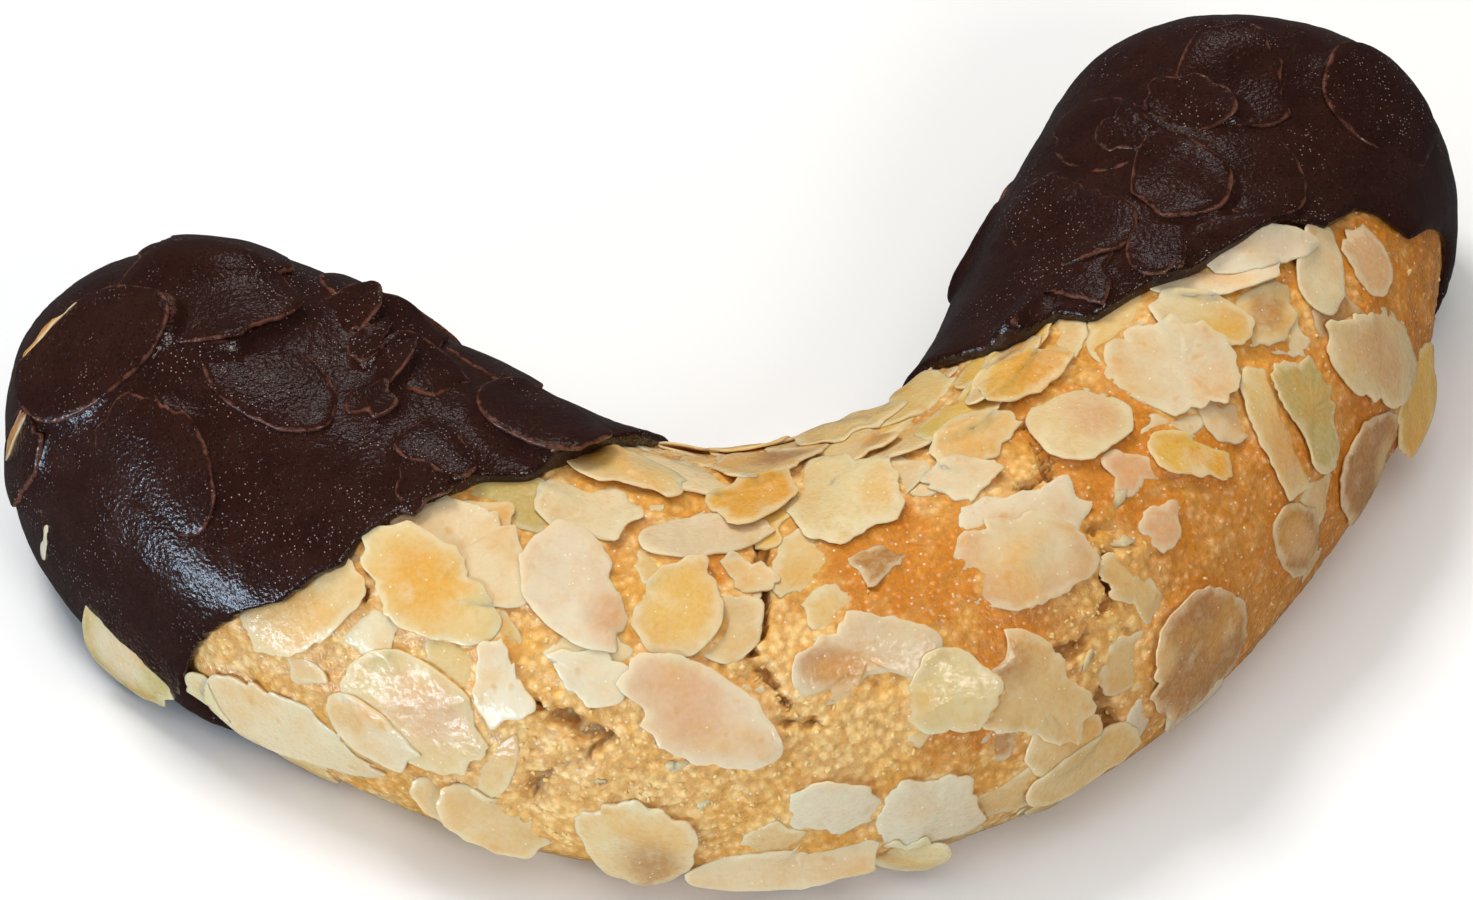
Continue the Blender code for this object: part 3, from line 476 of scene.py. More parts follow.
def dough_foot(x, y):
    """Height of the dough's base: on the table in the middle, and raised by the coat under the tips."""
    return COAT_TOP * smooth_step((y - dip_line(x)) / COAT_FOOT_RAMP + 1.0)


def surface(along, around, grow=0.0):
    """Points of the crescent grown outwards; its base is at dough_foot, less what it has grown."""
    along, around = np.broadcast_arrays(np.asarray(along, float), np.asarray(around, float))
    stations, headings, spine_x, spine_y = SPINE
    inside = np.clip(along, -TIP, TIP)
    heading = np.interp(inside, stations, headings)
    share = inside / SPINE_LENGTH + 0.5
    rounding = np.where(along < 0, LEFT_TIP_ROUNDING, RIGHT_TIP_ROUNDING) + grow
    tip = np.clip(1 - (TIP + grow - np.abs(along)) / rounding, 0.0, 1.0)
    plan, rise, sink = (np.sqrt(1 - tip**roundness)
                        for roundness in (TIP_PLAN_ROUNDNESS, TIP_HEIGHT_ROUNDNESS, TIP_BASE_ROUNDNESS))
    swell = unevenness(along, around) + grow
    width = (through(HALF_WIDTH, share) + swell) * plan
    full = through(HEIGHT, share) + swell
    cosine, sine = np.cos(around), np.sin(around)
    power = np.where(sine >= 0, 2 / CROWN_ROUNDNESS, 2 / BASE_ROUNDNESS)
    across = -width * np.sign(cosine) * np.abs(cosine) ** power
    lift = np.abs(sine) ** power
    crown = WAIST_SHARE + (1 - WAIST_SHARE) * lift * rise
    base = WAIST_SHARE * (1 - np.minimum(1.0, FLAT_BASE * lift * sink))
    height = full * np.where(sine >= 0, crown, base)
    x = np.interp(inside, stations, spine_x) + np.cos(heading) * (along - inside) - np.sin(heading) * across
    y = np.interp(inside, stations, spine_y) + np.sin(heading) * (along - inside) + np.cos(heading) * across
    foot = np.maximum(dough_foot(x, y) - grow, 0.0)
    return np.stack([x, y, height + foot * (1 - height / full)], -1)


def frame_at(along, around, grow=0.0):
    """Surface point, its directions along and around with their lengths per unit, and its normal."""
    step, turn = 0.2 * MM, 0.01
    run = (surface(along + step, around, grow) - surface(along - step, around, grow)) / (2 * step)
    swing = (surface(along, around + turn, grow) - surface(along, around - turn, grow)) / (2 * turn)
    run_length = np.linalg.norm(run, axis=-1, keepdims=True)
    swing_length = np.linalg.norm(swing, axis=-1, keepdims=True)
    normal = np.cross(run, swing)
    normal /= np.linalg.norm(normal, axis=-1, keepdims=True)
    return Spot(surface(along, around, grow), run / run_length, swing / swing_length,
                run_length, swing_length, normal)


def speckle(points, size, seed=0.0):
    """Gradient noise from about -1 to 1 at points, with features of a size."""
    values = [noise.noise(place) for place in (points.reshape(-1, 3) / size + seed).tolist()]
    return np.array(values).reshape(points.shape[:-1])


def ripples(points, layers):
    """Sum of noises in metres, each layer given by its height and size in mm and its seed."""
    return sum(height * MM * speckle(points, size * MM, seed) for height, size, seed in layers)


def unrolled(along, around):
    """A place on the horn as a point of a flat sheet, in metres."""
    return np.stack([along, around * ARM_RADIUS, np.zeros_like(along)], -1)


def patches(rows, along, around):
    """Strength of soft round patches at places on the horn."""
    total = np.zeros(np.shape(along))
    for place, angle, radius, strength in rows:
        far = np.hypot(along - place * MM, (around - math.radians(angle)) * ARM_RADIUS) / (radius * MM)
        total = np.maximum(total, strength * smooth_step(1.5 - far))
    return total


def crack_depth(along, around, margin=0.0):
    """Depth share of the cracks, from 0 outside them to 1 at their bottom."""
    sheet = unrolled(along, around)
    ragged = ripples(sheet, CRACK_RAGGEDNESS)
    wide = CRACK_WIDTH * (1 + CRACK_UNEVENNESS * speckle(sheet, CRACK_UNEVENNESS_SIZE, 2.0))
    wide = np.maximum(wide, NARROWEST_CRACK)
    bent = sheet[..., :2] + np.stack([ripples(sheet, layers) for layers in CRACK_BENDS], -1)
    deepest = np.zeros(along.shape)
    for line in CRACKS:
        corners = np.array([(a * MM, math.radians(b) * ARM_RADIUS) for a, b in line])
        for start, end in zip(corners[:-1], corners[1:]):
            way = end - start
            share = np.clip(((bent - start) @ way) / (way @ way), 0.0, 1.0)
            far = np.linalg.norm(bent - start - share[..., None] * way, axis=-1) + ragged
            deepest = np.maximum(deepest, smooth_step(1.6 - (far - margin) / wide))
    return deepest * smooth_step(0.85 + CRACK_BREAKS * speckle(sheet, CRACK_BREAKS_SIZE, 61.0))


def sample(heights, along, around):
    """Stack heights read at places on the horn."""
    rows, columns = heights.shape
    i = np.clip((along - STACK_ALONG[0]) / STACK_STEP, 0, rows - 1.001)
    j = ((around - STACK_AROUND[0]) / STACK_TURN) % columns
    row, column = i.astype(int), j.astype(int) % columns
    u, v, after = i - row, j - np.floor(j), (column + 1) % columns
    low = heights[row, column] * (1 - v) + heights[row, after] * v
    high = heights[row + 1, column] * (1 - v) + heights[row + 1, after] * v
    return low * (1 - u) + high * u


def blurred(heights, radius):
    """Stack heights smoothed over a radius in metres."""
    reach = max(1, int(round(BLUR_REACH * radius / STACK_STEP)))
    kernel = np.exp(-0.5 * (np.arange(-reach, reach + 1) * STACK_STEP / radius) ** 2)
    kernel /= kernel.sum()
    padded = np.pad(heights, ((reach, reach), (0, 0)), mode="edge")
    lengthways = np.zeros_like(heights)
    for k, weight in enumerate(kernel):
        lengthways += weight * padded[k:k + heights.shape[0]]
    out = np.zeros_like(heights)
    for k, weight in enumerate(kernel):
        out += weight * np.roll(lengthways, k - reach, axis=1)
    return out


def spread(heights, cells):
    """Stack heights widened by some cells, so that an edge stays covered when they are smoothed."""
    for axis in (0, 1) * cells:
        heights = np.maximum.reduce([heights, np.roll(heights, 1, axis), np.roll(heights, -1, axis)])
    return heights


def torn(place, draw, length):
    """Jagged line of a break: how far it strays at places along it."""
    stray = np.zeros_like(place)
    for spacing, size in BREAK_STRAY:
        knots = np.arange(-length, length, spacing)
        knots = knots + np.array([draw.uniform(-0.3, 0.3) for _ in knots]) * spacing
        stray = stray + np.interp(place, knots, [draw.uniform(-size, size) for _ in knots])
    return stray


def reach_at(reach, degrees):
    """Distance to an outline in one direction."""
    return np.interp(math.radians((degrees + 180) % 360 - 180), REACH_ANGLES, reach)


def breaks_of(shape, extra, reach, length, width, draw):
    """Torn sides of a flake, each as an angle in degrees and a distance from its middle."""
    breaks = [(way + draw.uniform(-6, 6), share * reach_at(reach, way))
              for way, share in extra.get("breaks", ())]
    if shape == "whole":
        for _ in range(2):
            way = draw.uniform(-180, 180)
            breaks.append((way, draw.uniform(0.86, 0.97) * reach_at(reach, way)))
    if shape in ("broken", "sliver"):
        breaks.append((draw.uniform(-25, 25), draw.uniform(0.5, 0.75) * length / 2))
    if shape == "broken":
        breaks.append((draw.choice((-1, 1)) * draw.uniform(60, 140), draw.uniform(0.75, 0.95) * width / 2))
    if shape == "chip":
        first = draw.uniform(0, 360)
        for k, size in enumerate((length, width, width)):
            breaks.append((first + 120 * k + draw.uniform(-30, 30), draw.uniform(0.55, 0.85) * size / 2))
    return breaks


def bitten(reach, bite, length):
    """An outline with a round notch, given by its place and radius as shares of the half length."""
    u, v, radius = (share * length / 2 for share in bite)
    toward = u * np.cos(REACH_ANGLES) + v * np.sin(REACH_ANGLES)
    inside = toward**2 - (u * u + v * v - radius * radius)
    entry = toward - np.sqrt(np.maximum(inside, 0.0))
    return np.where((inside > 0) & (toward > 0), np.minimum(reach, np.maximum(entry, 0.0)), reach)


def flake_reach(length, width, shape, extra, draw, fraying):
    """Distance from a flake's middle to its outline, at REACH_ANGLES in its own plane."""
    t = np.radians(np.arange(-180, 180.1, 0.25))
    swell = 1
    for share, waves in FLAKE_SWELLS:
        swell = swell + share * np.sin(waves * t + draw.uniform(0, 6))
    p = np.cos(t) * swell * length / 2
    q = np.sin(t) * swell * (1 - FLAKE_POINTEDNESS * np.cos(t)) * width / 2
    reach = np.interp(REACH_ANGLES, np.arctan2(q, p), np.hypot(p, q), period=2 * math.pi)
    for direction, offset in breaks_of(shape, extra, reach, length, width, draw):
        turn = REACH_ANGLES - math.radians(direction)
        facing = np.cos(turn)
        ahead = facing > BREAK_FACING
        place = offset * np.tan(np.where(ahead, turn, 0.0))
        line = (offset + torn(place, draw, length)) / np.maximum(facing, BREAK_FACING)
        reach = np.where(ahead, np.minimum(reach, line), reach)
    if "bite" in extra:
        reach = bitten(reach, extra["bite"], length)
    circle = np.stack([np.cos(REACH_ANGLES), np.sin(REACH_ANGLES), np.zeros_like(REACH_ANGLES)], -1)
    outline = circle * reach[:, None] + draw.uniform(0, 1)
    nibbled = ripples(outline, NIBBLES)
    nibbled *= 0.4 + 1.2 * smooth_step(0.5 + 1.5 * speckle(outline, 5.0 * MM, 8.0))
    return np.maximum(reach + fraying * nibbled, SMALLEST_REACH)


def make_flakes(rows, draw, kind=None):
    """Flakes of a table, in metres and radians, each with its outline.

    The kind is bare, bursting, or for a coated flake plate where its edges show crisply or soft where they
    don't.
    """
    flakes = []
    for row in rows:
        along, around, length, width, turn, lift, shape, tone = row[:8]
        extra = row[8] if len(row) > 8 else {}
        fraying = FRAYING.get(kind or tone, 1.0)
        way, rise = extra.get("tilt", (draw.uniform(0, 360), draw.uniform(0.05, 0.3)))
        way = math.radians(way)
        flakes.append(SimpleNamespace(
            along=along * MM, around=math.radians(around), turn=math.radians(turn), lift=lift * MM,
            reach=flake_reach(length * MM, width * MM, shape, extra, draw, fraying), kind=kind or tone,
            half=(length * MM / 2, width * MM / 2), tone=tone, patch=extra.get("patch"),
            tilt=(math.cos(way) * rise * MM, math.sin(way) * rise * MM),
            bend=draw.uniform(-0.2, 0.3) * MM, twist=draw.uniform(-0.2, 0.2) * MM))
    return flakes


def hidden_rows(ranges, tones, draw):
    """Rows for the sides that the front does not show."""
    rows = []
    for first, last, spacing, low, high in ranges:
        for place in np.arange(first, last, spacing):
            sizes = (HIDDEN_LENGTH, HIDDEN_WIDTH, HIDDEN_TURN, HIDDEN_LIFT)
            rows.append((place + draw.uniform(-1.5, 1.5), draw.uniform(low, high),
                         *(draw.uniform(*size) for size in sizes),
                         draw.choice(("whole", "broken")), draw.choice(tones)))
    return rows


def is_open(along, around):
    """Whether a place on the horn is left free of broken pieces: coated, toasted, crumbly or at a crack."""
    x, y, _ = surface(along, around)
    if y > dip_line(x) - FILL_DIP_MARGIN:
        return True
    crack = crack_depth(np.array([along]), np.array([around]), FILL_CRACK_MARGIN)[0]
    bareness = max(patches(CRUMBLY, along, around), patches(TOASTED, along, around), 3 * crack)
    return bareness > FILL_MOST_OPEN


def fill_rows(draw):
    """Rows for broken pieces between the flakes, apart from each other and clear of the open dough."""
    rows, taken = [], []
    for _ in range(FILL_TRIES):
        along, around = draw.uniform(*FILL_ALONG), draw.uniform(*FILL_AROUND)
        if is_open(along * MM, math.radians(around)):
            continue
        place = np.array((along * MM, math.radians(around) * ARM_RADIUS))
        inner = around > FILL_INNER
        spacing = FILL_SPACING * (FILL_INNER_SPACING if inner else 1.0)
        if all(np.linalg.norm(place - other) > spacing for other in taken):
            taken.append(place)
            length = draw.uniform(*FILL_LENGTH)
            width = length * draw.uniform(*(FILL_INNER_WIDTH if inner else FILL_WIDTH))
            turn = draw.uniform(*(FILL_INNER_TURN if inner else FILL_TURN))
            rows.append((along, around, length, width, turn, draw.uniform(*FILL_LIFT),
                         draw.choice(FILL_SHAPES), draw.choice(FILL_TONES)))
    return rows


def flake_place(flake, p, q):
    """Steps forward and sideways of p, q on a flake, with their along and around."""
    spot = frame_at(flake.along, flake.around)
    forward = p * math.cos(flake.turn) - q * math.sin(flake.turn)
    sideways = p * math.sin(flake.turn) + q * math.cos(flake.turn)
    limit = TIP - FLAKE_TIP_MARGIN
    along = np.clip(flake.along + forward / spot.run_length[0], -limit, limit)
    return forward, sideways, along, flake.around + sideways / spot.swing_length[0]


def resting_plane(p, q, support):
    """Height at the middle and slopes of the lowest flat sheet that lies on the support."""
    slope, reach = (0.0, 0.0), SLOPE_REACH
    for _ in range(SLOPE_ROUNDS):
        tries = [(slope[0] + u * reach, slope[1] + v * reach) for u in SLOPE_TRIES for v in SLOPE_TRIES]
        heights = [np.max(support - p * a - q * b) for a, b in tries]
        slope = tries[int(np.argmin(heights))]
        reach *= 0.5
    return float(np.max(support - p * slope[0] - q * slope[1])), slope


def spokes(reach):
    """Angles of even places round an outline, and the points on them of the rings inside it."""
    x, y = np.cos(REACH_ANGLES) * reach, np.sin(REACH_ANGLES) * reach
    run = np.concatenate([[0], np.cumsum(np.hypot(np.diff(x), np.diff(y)))])
    count = int(np.clip(run[-1] / OUTLINE_SPACING, *OUTLINE_POINTS))
    even = np.interp(np.linspace(0, run[-1], count, endpoint=False), run, REACH_ANGLES)
    size = np.interp(even, REACH_ANGLES, reach)
    rings = np.array(RINGS)[:, None]
    return even, rings * np.cos(even) * size, rings * np.sin(even) * size


def ring_at(share):
    """The ring inside a share of the way out, and how far it is from there to the next."""
    ring = np.interp(share, RINGS, np.arange(len(RINGS)))
    low = np.minimum(ring.astype(int), len(RINGS) - 2)
    return low, ring - low


def rested(flake, heights, thickness):
    """Heights of a flake's sheet on the stack: draped over it, lifted, bent, tilted and smoothed."""
    p, q = flake.p, flake.q
    _, _, along, around = flake_place(flake, p, q)
    below = sample(heights, along, around)
    held = below > RESTING_LEVEL
    support = np.where(held, below - OVERLAP, -SINK)
    level, slope = resting_plane(p, q, support)
    flat = level + p * slope[0] + q * slope[1]
    soft = sample(blurred_near(heights, flake), along, around) - OVERLAP
    sheet = flat * (1 - DRAPE) + np.maximum(soft, -SINK) * DRAPE
    half_length, half_width = flake.half
    rise, share = RISES[flake.kind]
    sheet = sheet + share * max(0.0, flake.lift + rise - (sheet[0, 0] + thickness))
    sheet = sheet + flake.bend * (p / half_length) ** 2 + flake.twist * p * q / (half_length * half_width)
    sheet = sheet + flake.tilt[0] * p / half_length + flake.tilt[1] * q / half_width
    sheet = np.where(held, np.maximum(sheet, support), np.maximum(sheet, -thickness - BARELY_UNDER))
    waves = np.fft.rfft(sheet, axis=1)
    finest = 1.0 + FINEST_WAVES * np.array(RINGS)[:, None] ** 1.5
    fading = np.exp(-(np.arange(waves.shape[1]) / finest) ** 2)
    return np.fft.irfft(waves * fading, sheet.shape[1], axis=1)


def stamp(flake, even, heights, skin, thickness):
    """Raise the stack to a flake's top wherever the flake lies highest."""
    count = len(even)
    reach = max(flake.half) * STAMP_REACH
    reach_along = int(reach / STACK_STEP) + 2
    reach_around = int(reach / ARM_RADIUS / STACK_TURN * STAMP_STRETCH) + 2
    i = int((flake.along - STACK_ALONG[0]) / STACK_STEP)
    j = int((flake.around - STACK_AROUND[0]) / STACK_TURN)
    rows = np.clip(np.arange(i - reach_along, i + reach_along), 0, len(STACK_ALONG) - 1)
    columns = np.arange(j - reach_around, j + reach_around)
    spot = frame_at(flake.along, flake.around)
    forward = (STACK_ALONG[rows] - flake.along)[:, None] * spot.run_length[0]
    sideways = ((STACK_AROUND[0] + columns * STACK_TURN) - flake.around)[None, :] * spot.swing_length[0]
    cosine, sine = math.cos(flake.turn), math.sin(flake.turn)
    p, q = forward * cosine + sideways * sine, -forward * sine + sideways * cosine
    angle = np.arctan2(q, p)
    share = np.hypot(p, q) / np.interp(angle, REACH_ANGLES, flake.reach)
    low, t = ring_at(np.minimum(share, 1.0))
    spoke = np.interp(angle, np.append(even, math.pi), np.arange(count + 1))
    side = spoke.astype(int) % count
    u, after = spoke - np.floor(spoke), (side + 1) % count
    sheet = flake.sheet
    top = (sheet[low, side] * (1 - t) + sheet[low + 1, side] * t) * (1 - u) \
        + (sheet[low, after] * (1 - t) + sheet[low + 1, after] * t) * u + thickness
    cells = np.ix_(rows, columns % len(STACK_AROUND))
    covers = (share <= 1.0) & (top > heights[cells])
    heights[cells] = np.where(covers, top, heights[cells])
    skin[cells] = np.where(covers, SKINS[flake.kind], skin[cells])


def blurred_near(heights, flake):
    """The stack smoothed, with only what lies near a flake worked out."""
    half = int(DRAPE_REACH / STACK_STEP)
    i = int((flake.along - STACK_ALONG[0]) / STACK_STEP)
    low, high = max(0, i - half), min(len(STACK_ALONG), i + half)
    out = heights.copy()
    out[low:high] = blurred(heights[low:high], DRAPE_BLUR)
    return out


@cache
def flake_stack(thickness):
    """All flakes, laid one on another from the lowest up, their height and the chocolate over them."""
    draw = random.Random(HIDDEN_SEED)
    rows = BARE_FLAKES + tuple(hidden_rows(HIDDEN_BARE, ("ivory", "cream", "yellow"), draw))
    flakes = make_flakes(rows, draw, "bare")
    flakes += make_flakes(COATED_FLAKES + tuple(hidden_rows(HIDDEN_COATED, ("plate", "soft"), draw)), draw)
    flakes += make_flakes(BURSTING_FLAKES, draw, "bursting")
    flakes += make_flakes(fill_rows(random.Random(FILL_SEED)), draw, "bare")
    heights = np.zeros((len(STACK_ALONG), len(STACK_AROUND)))
    skin = np.zeros_like(heights)
    for flake in sorted(flakes, key=lambda one: one.lift):
        even, flake.p, flake.q = spokes(flake.reach)
        flake.sheet = rested(flake, heights, thickness)
        if flake.kind != "bursting":
            stamp(flake, even, heights, skin, thickness)
    return flakes, heights, skin


def new_piece(name, points, faces):
    """Smooth-shaded mesh object in the scene."""
    mesh = bpy.data.meshes.new(name)
    mesh.from_pydata(np.asarray(points).tolist(), [], faces)
    mesh.update()
    mesh.shade_smooth()
    piece = bpy.data.objects.new(name, mesh)
    bpy.context.scene.collection.objects.link(piece)
    return piece


def tube_faces(rows, columns, first_corner=0):
    """Faces of closed rings of points, one after another, and of the two poles that follow them."""
    index = np.arange(rows * columns).reshape(rows, columns)
    after = np.roll(index, -1, axis=1)
    quads = np.stack([index[:-1], index[1:], after[1:], after[:-1]], -1).reshape(-1, 4)
    start, end = rows * columns, rows * columns + 1
    faces = np.roll(quads, -first_corner, axis=1).tolist()
    faces += [(start, int(a), int(b)) for a, b in zip(index[0], after[0])]
    faces += [(end, int(b), int(a)) for a, b in zip(index[-1], after[-1])]
    return faces


def loft(name, rings, start, end):
    """Closed mesh object of rings of points with a pole at each end."""
    points = np.concatenate([rings.reshape(-1, 3), [start], [end]])
    return new_piece(name, points, tube_faces(*rings.shape[:2]))


def set_values(piece, name, values):
    """Store one number per point on a piece."""
    made = piece.data.attributes.new(name, "FLOAT", "POINT")
    made.data.foreach_set("value", np.asarray(values, np.float32).ravel())


def set_colors(piece, name, colors):
    """Store one colour per point on a piece."""
    made = piece.data.attributes.new(name, "FLOAT_COLOR", "POINT")
    full = np.concatenate([colors, np.ones((len(colors), 1))], 1)
    made.data.foreach_set("color", full.astype(np.float32).ravel())


def finish_piece(piece, slot, material, *nodes):
    """Give a piece its finish and its place in the model."""
    piece.data.materials.clear()
    piece.data.materials.append(material)
    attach(piece, "root")
    if nodes:
        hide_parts(*nodes)


def put(tree, socket, value):
    """Link another node's socket to an input or set the input to a value."""
    if isinstance(value, bpy.types.NodeSocket):
        tree.links.new(value, socket)
    else:
        socket.default_value = (*value, 1.0) if socket.type == "RGBA" else value


def add(tree, kind, inputs=None, **settings):
    """New node of a tree with its settings; an input is a value or another node's socket."""
    node = tree.nodes.new(kind)
    for name, value in settings.items():
        setattr(node, name, value)
    for name, value in (inputs or {}).items():
        put(tree, node.inputs[name], value)
    return node


def connect(tree, shader, **sockets):
    """Set or link a shader's inputs; an underscore in a name stands for a space."""
    for name, value in sockets.items():
        put(tree, shader.inputs[name.replace("_", " ")], value)


def start_material(name):
    """Node material with its shader and its Object coordinates."""
    material = bpy.data.materials.new(name)
    material.use_nodes = True
    tree = material.node_tree
    coordinates = add(tree, "ShaderNodeTexCoord").outputs["Object"]
    return material, tree, tree.nodes["Principled BSDF"], coordinates


def attribute(tree, name, output="Fac"):
    """A piece's own stored values in a material."""
    return add(tree, "ShaderNodeAttribute", attribute_name=name).outputs[output]


def texture(tree, place, size, detail=2.0, roughness=0.5):
    """Noise with features of a size in metres."""
    return add(tree, "ShaderNodeTexNoise", {"Vector": place, "Scale": 1 / size, "Detail": detail,
                                            "Roughness": roughness}).outputs["Fac"]


def ranged(tree, value, low, high, start=0.0, end=1.0):
    """A value carried from one range to another."""
    return add(tree, "ShaderNodeMapRange", {"Value": value, "From Min": low, "From Max": high,
                                            "To Min": start, "To Max": end}).outputs["Result"]


def maths(tree, operation, a, b):
    """Sum, product or another operation of two values."""
    return add(tree, "ShaderNodeMath", {0: a, 1: b}, operation=operation).outputs[0]


def mixed(tree, factor, a, b, blend="MIX"):
    """Two colours mixed by a factor."""
    return add(tree, "ShaderNodeMix", {0: factor, 6: a, 7: b}, data_type="RGBA", blend_type=blend).outputs[2]


def layered(tree, color, *layers):
    """A colour with others laid over it in turn, each by its own amount."""
    for amount, over in layers:
        color = mixed(tree, amount, color, over)
    return color


def bumped(tree, height, distance, strength=1.0, normal=None):
    """Normal of a bump, over another bump where one is given."""
    inputs = {"Height": height, "Distance": distance, "Strength": strength}
    if normal is not None:
        inputs["Normal"] = normal
    return add(tree, "ShaderNodeBump", inputs).outputs["Normal"]


def strewn(tree, place, size, share, edge, middle, channel):
    """Round spots in a share of a surface's cells, which rise from their edge to their middle."""
    cells = add(tree, "ShaderNodeTexVoronoi", {"Vector": place, "Scale": 1 / size, "Randomness": 1.0})
    spot = ranged(tree, cells.outputs["Distance"], edge, middle)
    chosen = add(tree, "ShaderNodeSeparateColor", {"Color": cells.outputs["Color"]}).outputs[channel]
    return maths(tree, "MULTIPLY", spot, maths(tree, "LESS_THAN", chosen, share))


def glints(tree, place, size, share):
    """Height of small round beads strewn over a share of a surface."""
    return strewn(tree, place, size, share, 0.45, 0.05, "Red")


def specks(tree, place, size, share, wide, amount):
    """An amount of colour on fine specks strewn over a share of a surface's cells."""
    return maths(tree, "MULTIPLY", strewn(tree, place, size, share, wide, 0.6 * wide, "Green"), amount)


def dough_finish(look):
    """Baked dough: golden crumb with caramel glaze, glossy where the glaze lies, painted shade in its cracks
    and grain hollows and painted sugar glints.
    """
    material, tree, shader, place = start_material("almond_dough")
    toast_and_shade, crumb, crack = (attribute(tree, name) for name in ("toast_and_shade", "crumb", "crack"))
    broad, patchy, fine = (texture(tree, place, size * MM, 3.0, 0.6) for size in (4.5, 1.7, 0.5))
    # Browning mask, which also carries painted shade on the right flank and at the flakes' edges
    browned_and_shaded = maths(tree, "ADD", toast_and_shade, ranged(tree, patchy, 0.3, 0.75, -0.35, 0.35))
    grains = add(tree, "ShaderNodeTexVoronoi", {"Vector": place, "Scale": 1 / look.grain_size,
                                                "Smoothness": 0.6}, feature="SMOOTH_F1").outputs["Distance"]
    color = layered(
        tree, look.dough_color,
        (ranged(tree, broad, 0.4, 0.6), look.golden_color),
        (ranged(tree, browned_and_shaded, 0.15, 0.85), look.caramel_color),
        (maths(tree, "MULTIPLY", crumb, ranged(tree, patchy, 0.3, 0.6)), look.crumb_color),
        # Painted shade: the crack colour darkens the deepest part of each crack
        (crack, look.crack_shade_color),
        # Painted light of the grain relief: a darker amber in the hollows between grains, partly the glaze's
        # own colour and partly painted shade, and the pale colour on the grain tops as a painted highlight
        (ranged(tree, grains, 0.3, 0.62, 0.0, 0.5), look.hollow_glaze_and_shade_color),
        (ranged(tree, grains, 0.28, 0.12, 0.0, 0.35), look.pale_color))
    # Random tone, times a darkening in the grain hollows that is painted shade
    shade = maths(tree, "MULTIPLY", ranged(tree, fine, 0.3, 0.7, 0.84, 1.14),
                  ranged(tree, grains, 0.2, 0.6, 1.03, 0.93))
    tint = add(tree, "ShaderNodeCombineColor", {"Red": shade, "Green": shade, "Blue": shade})
    color = mixed(tree, 1.0, color, tint.outputs["Color"], "MULTIPLY")
    # Painted highlight: white sugar specks stand in for the glaze's glints
    color = mixed(tree, specks(tree, place, 0.5 * MM, 0.2, 0.26, 0.65), color, look.painted_sugar_glint_color)
    normal = bumped(tree, grains, 0.25 * MM, 0.5, bumped(tree, fine, 0.3 * MM, 0.6))
    beads = bumped(tree, glints(tree, place, 0.55 * MM, 0.85), 0.22 * MM, 0.9, normal)
    connect(tree, shader, Base_Color=color, Normal=normal, Metallic=0.0, IOR=1.45,
            Roughness=ranged(tree, crumb, 0.0, 1.0, 0.4, 0.6), Subsurface_Weight=0.25,
            Subsurface_Radius=(1.0, 0.5, 0.2), Subsurface_Scale=0.7 * MM,
            Coat_Weight=ranged(tree, crumb, 0.0, 0.8, 0.9, 0.6), Coat_Roughness=0.1, Coat_Normal=beads)
    return material


def almond_finish(look):
    """Flaked almond: own tone, cloudy, paler at its cut edge, soft light inside, beaded glaze, painted
    glints.
    """
    material, tree, shader, place = start_material("flaked_almond")
    tone, edge = attribute(tree, "almond", "Color"), attribute(tree, "edge")
    cloud = texture(tree, place, 3.0 * MM, 4.0, 0.6)
    fibre = texture(tree, place, 0.5 * MM, 3.0, 0.6)
    spots = texture(tree, place, 1.6 * MM, 1.0, 0.4)
    ragged = maths(tree, "ADD", edge, ranged(tree, spots, 0.3, 0.7, -0.35, 0.35))
    color = layered(
        tree, tone,
        (ranged(tree, cloud, 0.5, 0.75, 0.0, 0.4), look.toasted_color),
        (ranged(tree, cloud, 0.45, 0.3, 0.0, 0.35), look.pale_color),
        (ranged(tree, spots, 0.7, 0.78, 0.0, 0.5), look.toasted_color),
        (ranged(tree, fibre, 0.4, 0.6, 0.15, 0.0), look.pale_color),
        (ranged(tree, ragged, 0.9, 0.2, 0.0, 0.5), look.pale_color),
        # Painted highlight: white sugar specks stand in for the glaze's glints
        (specks(tree, place, 0.5 * MM, 0.12, 0.2, 0.6), look.painted_sugar_glint_color))
    normal = bumped(tree, texture(tree, place, 2.2 * MM, 2.0), 0.4 * MM, 0.5)
    normal = bumped(tree, fibre, 0.08 * MM, 0.6, normal)
    beads = bumped(tree, glints(tree, place, 0.42 * MM, 0.75), 0.14 * MM, 1.0, normal)
    connect(tree, shader, Base_Color=color, Normal=normal, Metallic=0.0, IOR=1.45, Roughness=0.45,
            Subsurface_Weight=0.45, Subsurface_Radius=(1.0, 0.75, 0.5), Subsurface_Scale=0.8 * MM,
            Coat_Weight=0.6, Coat_Roughness=0.1, Coat_Normal=beads)
    return material


def crumb_finish(look):
    """Loose grains of baked dough and glaze."""
    material, tree, shader, place = start_material("dough_crumbs")
    cloud = ranged(tree, texture(tree, place, 2.5 * MM, 2.0), 0.35, 0.65)
    connect(tree, shader, Base_Color=mixed(tree, cloud, look.dough_color, look.crumb_color), Metallic=0.0,
            Roughness=0.4, Subsurface_Weight=0.35, Subsurface_Radius=(1.0, 0.6, 0.3),
            Subsurface_Scale=0.5 * MM, Coat_Weight=0.8, Coat_Roughness=0.12,
            Normal=bumped(tree, texture(tree, place, 0.3 * MM), 0.08 * MM, 0.6))
    return material


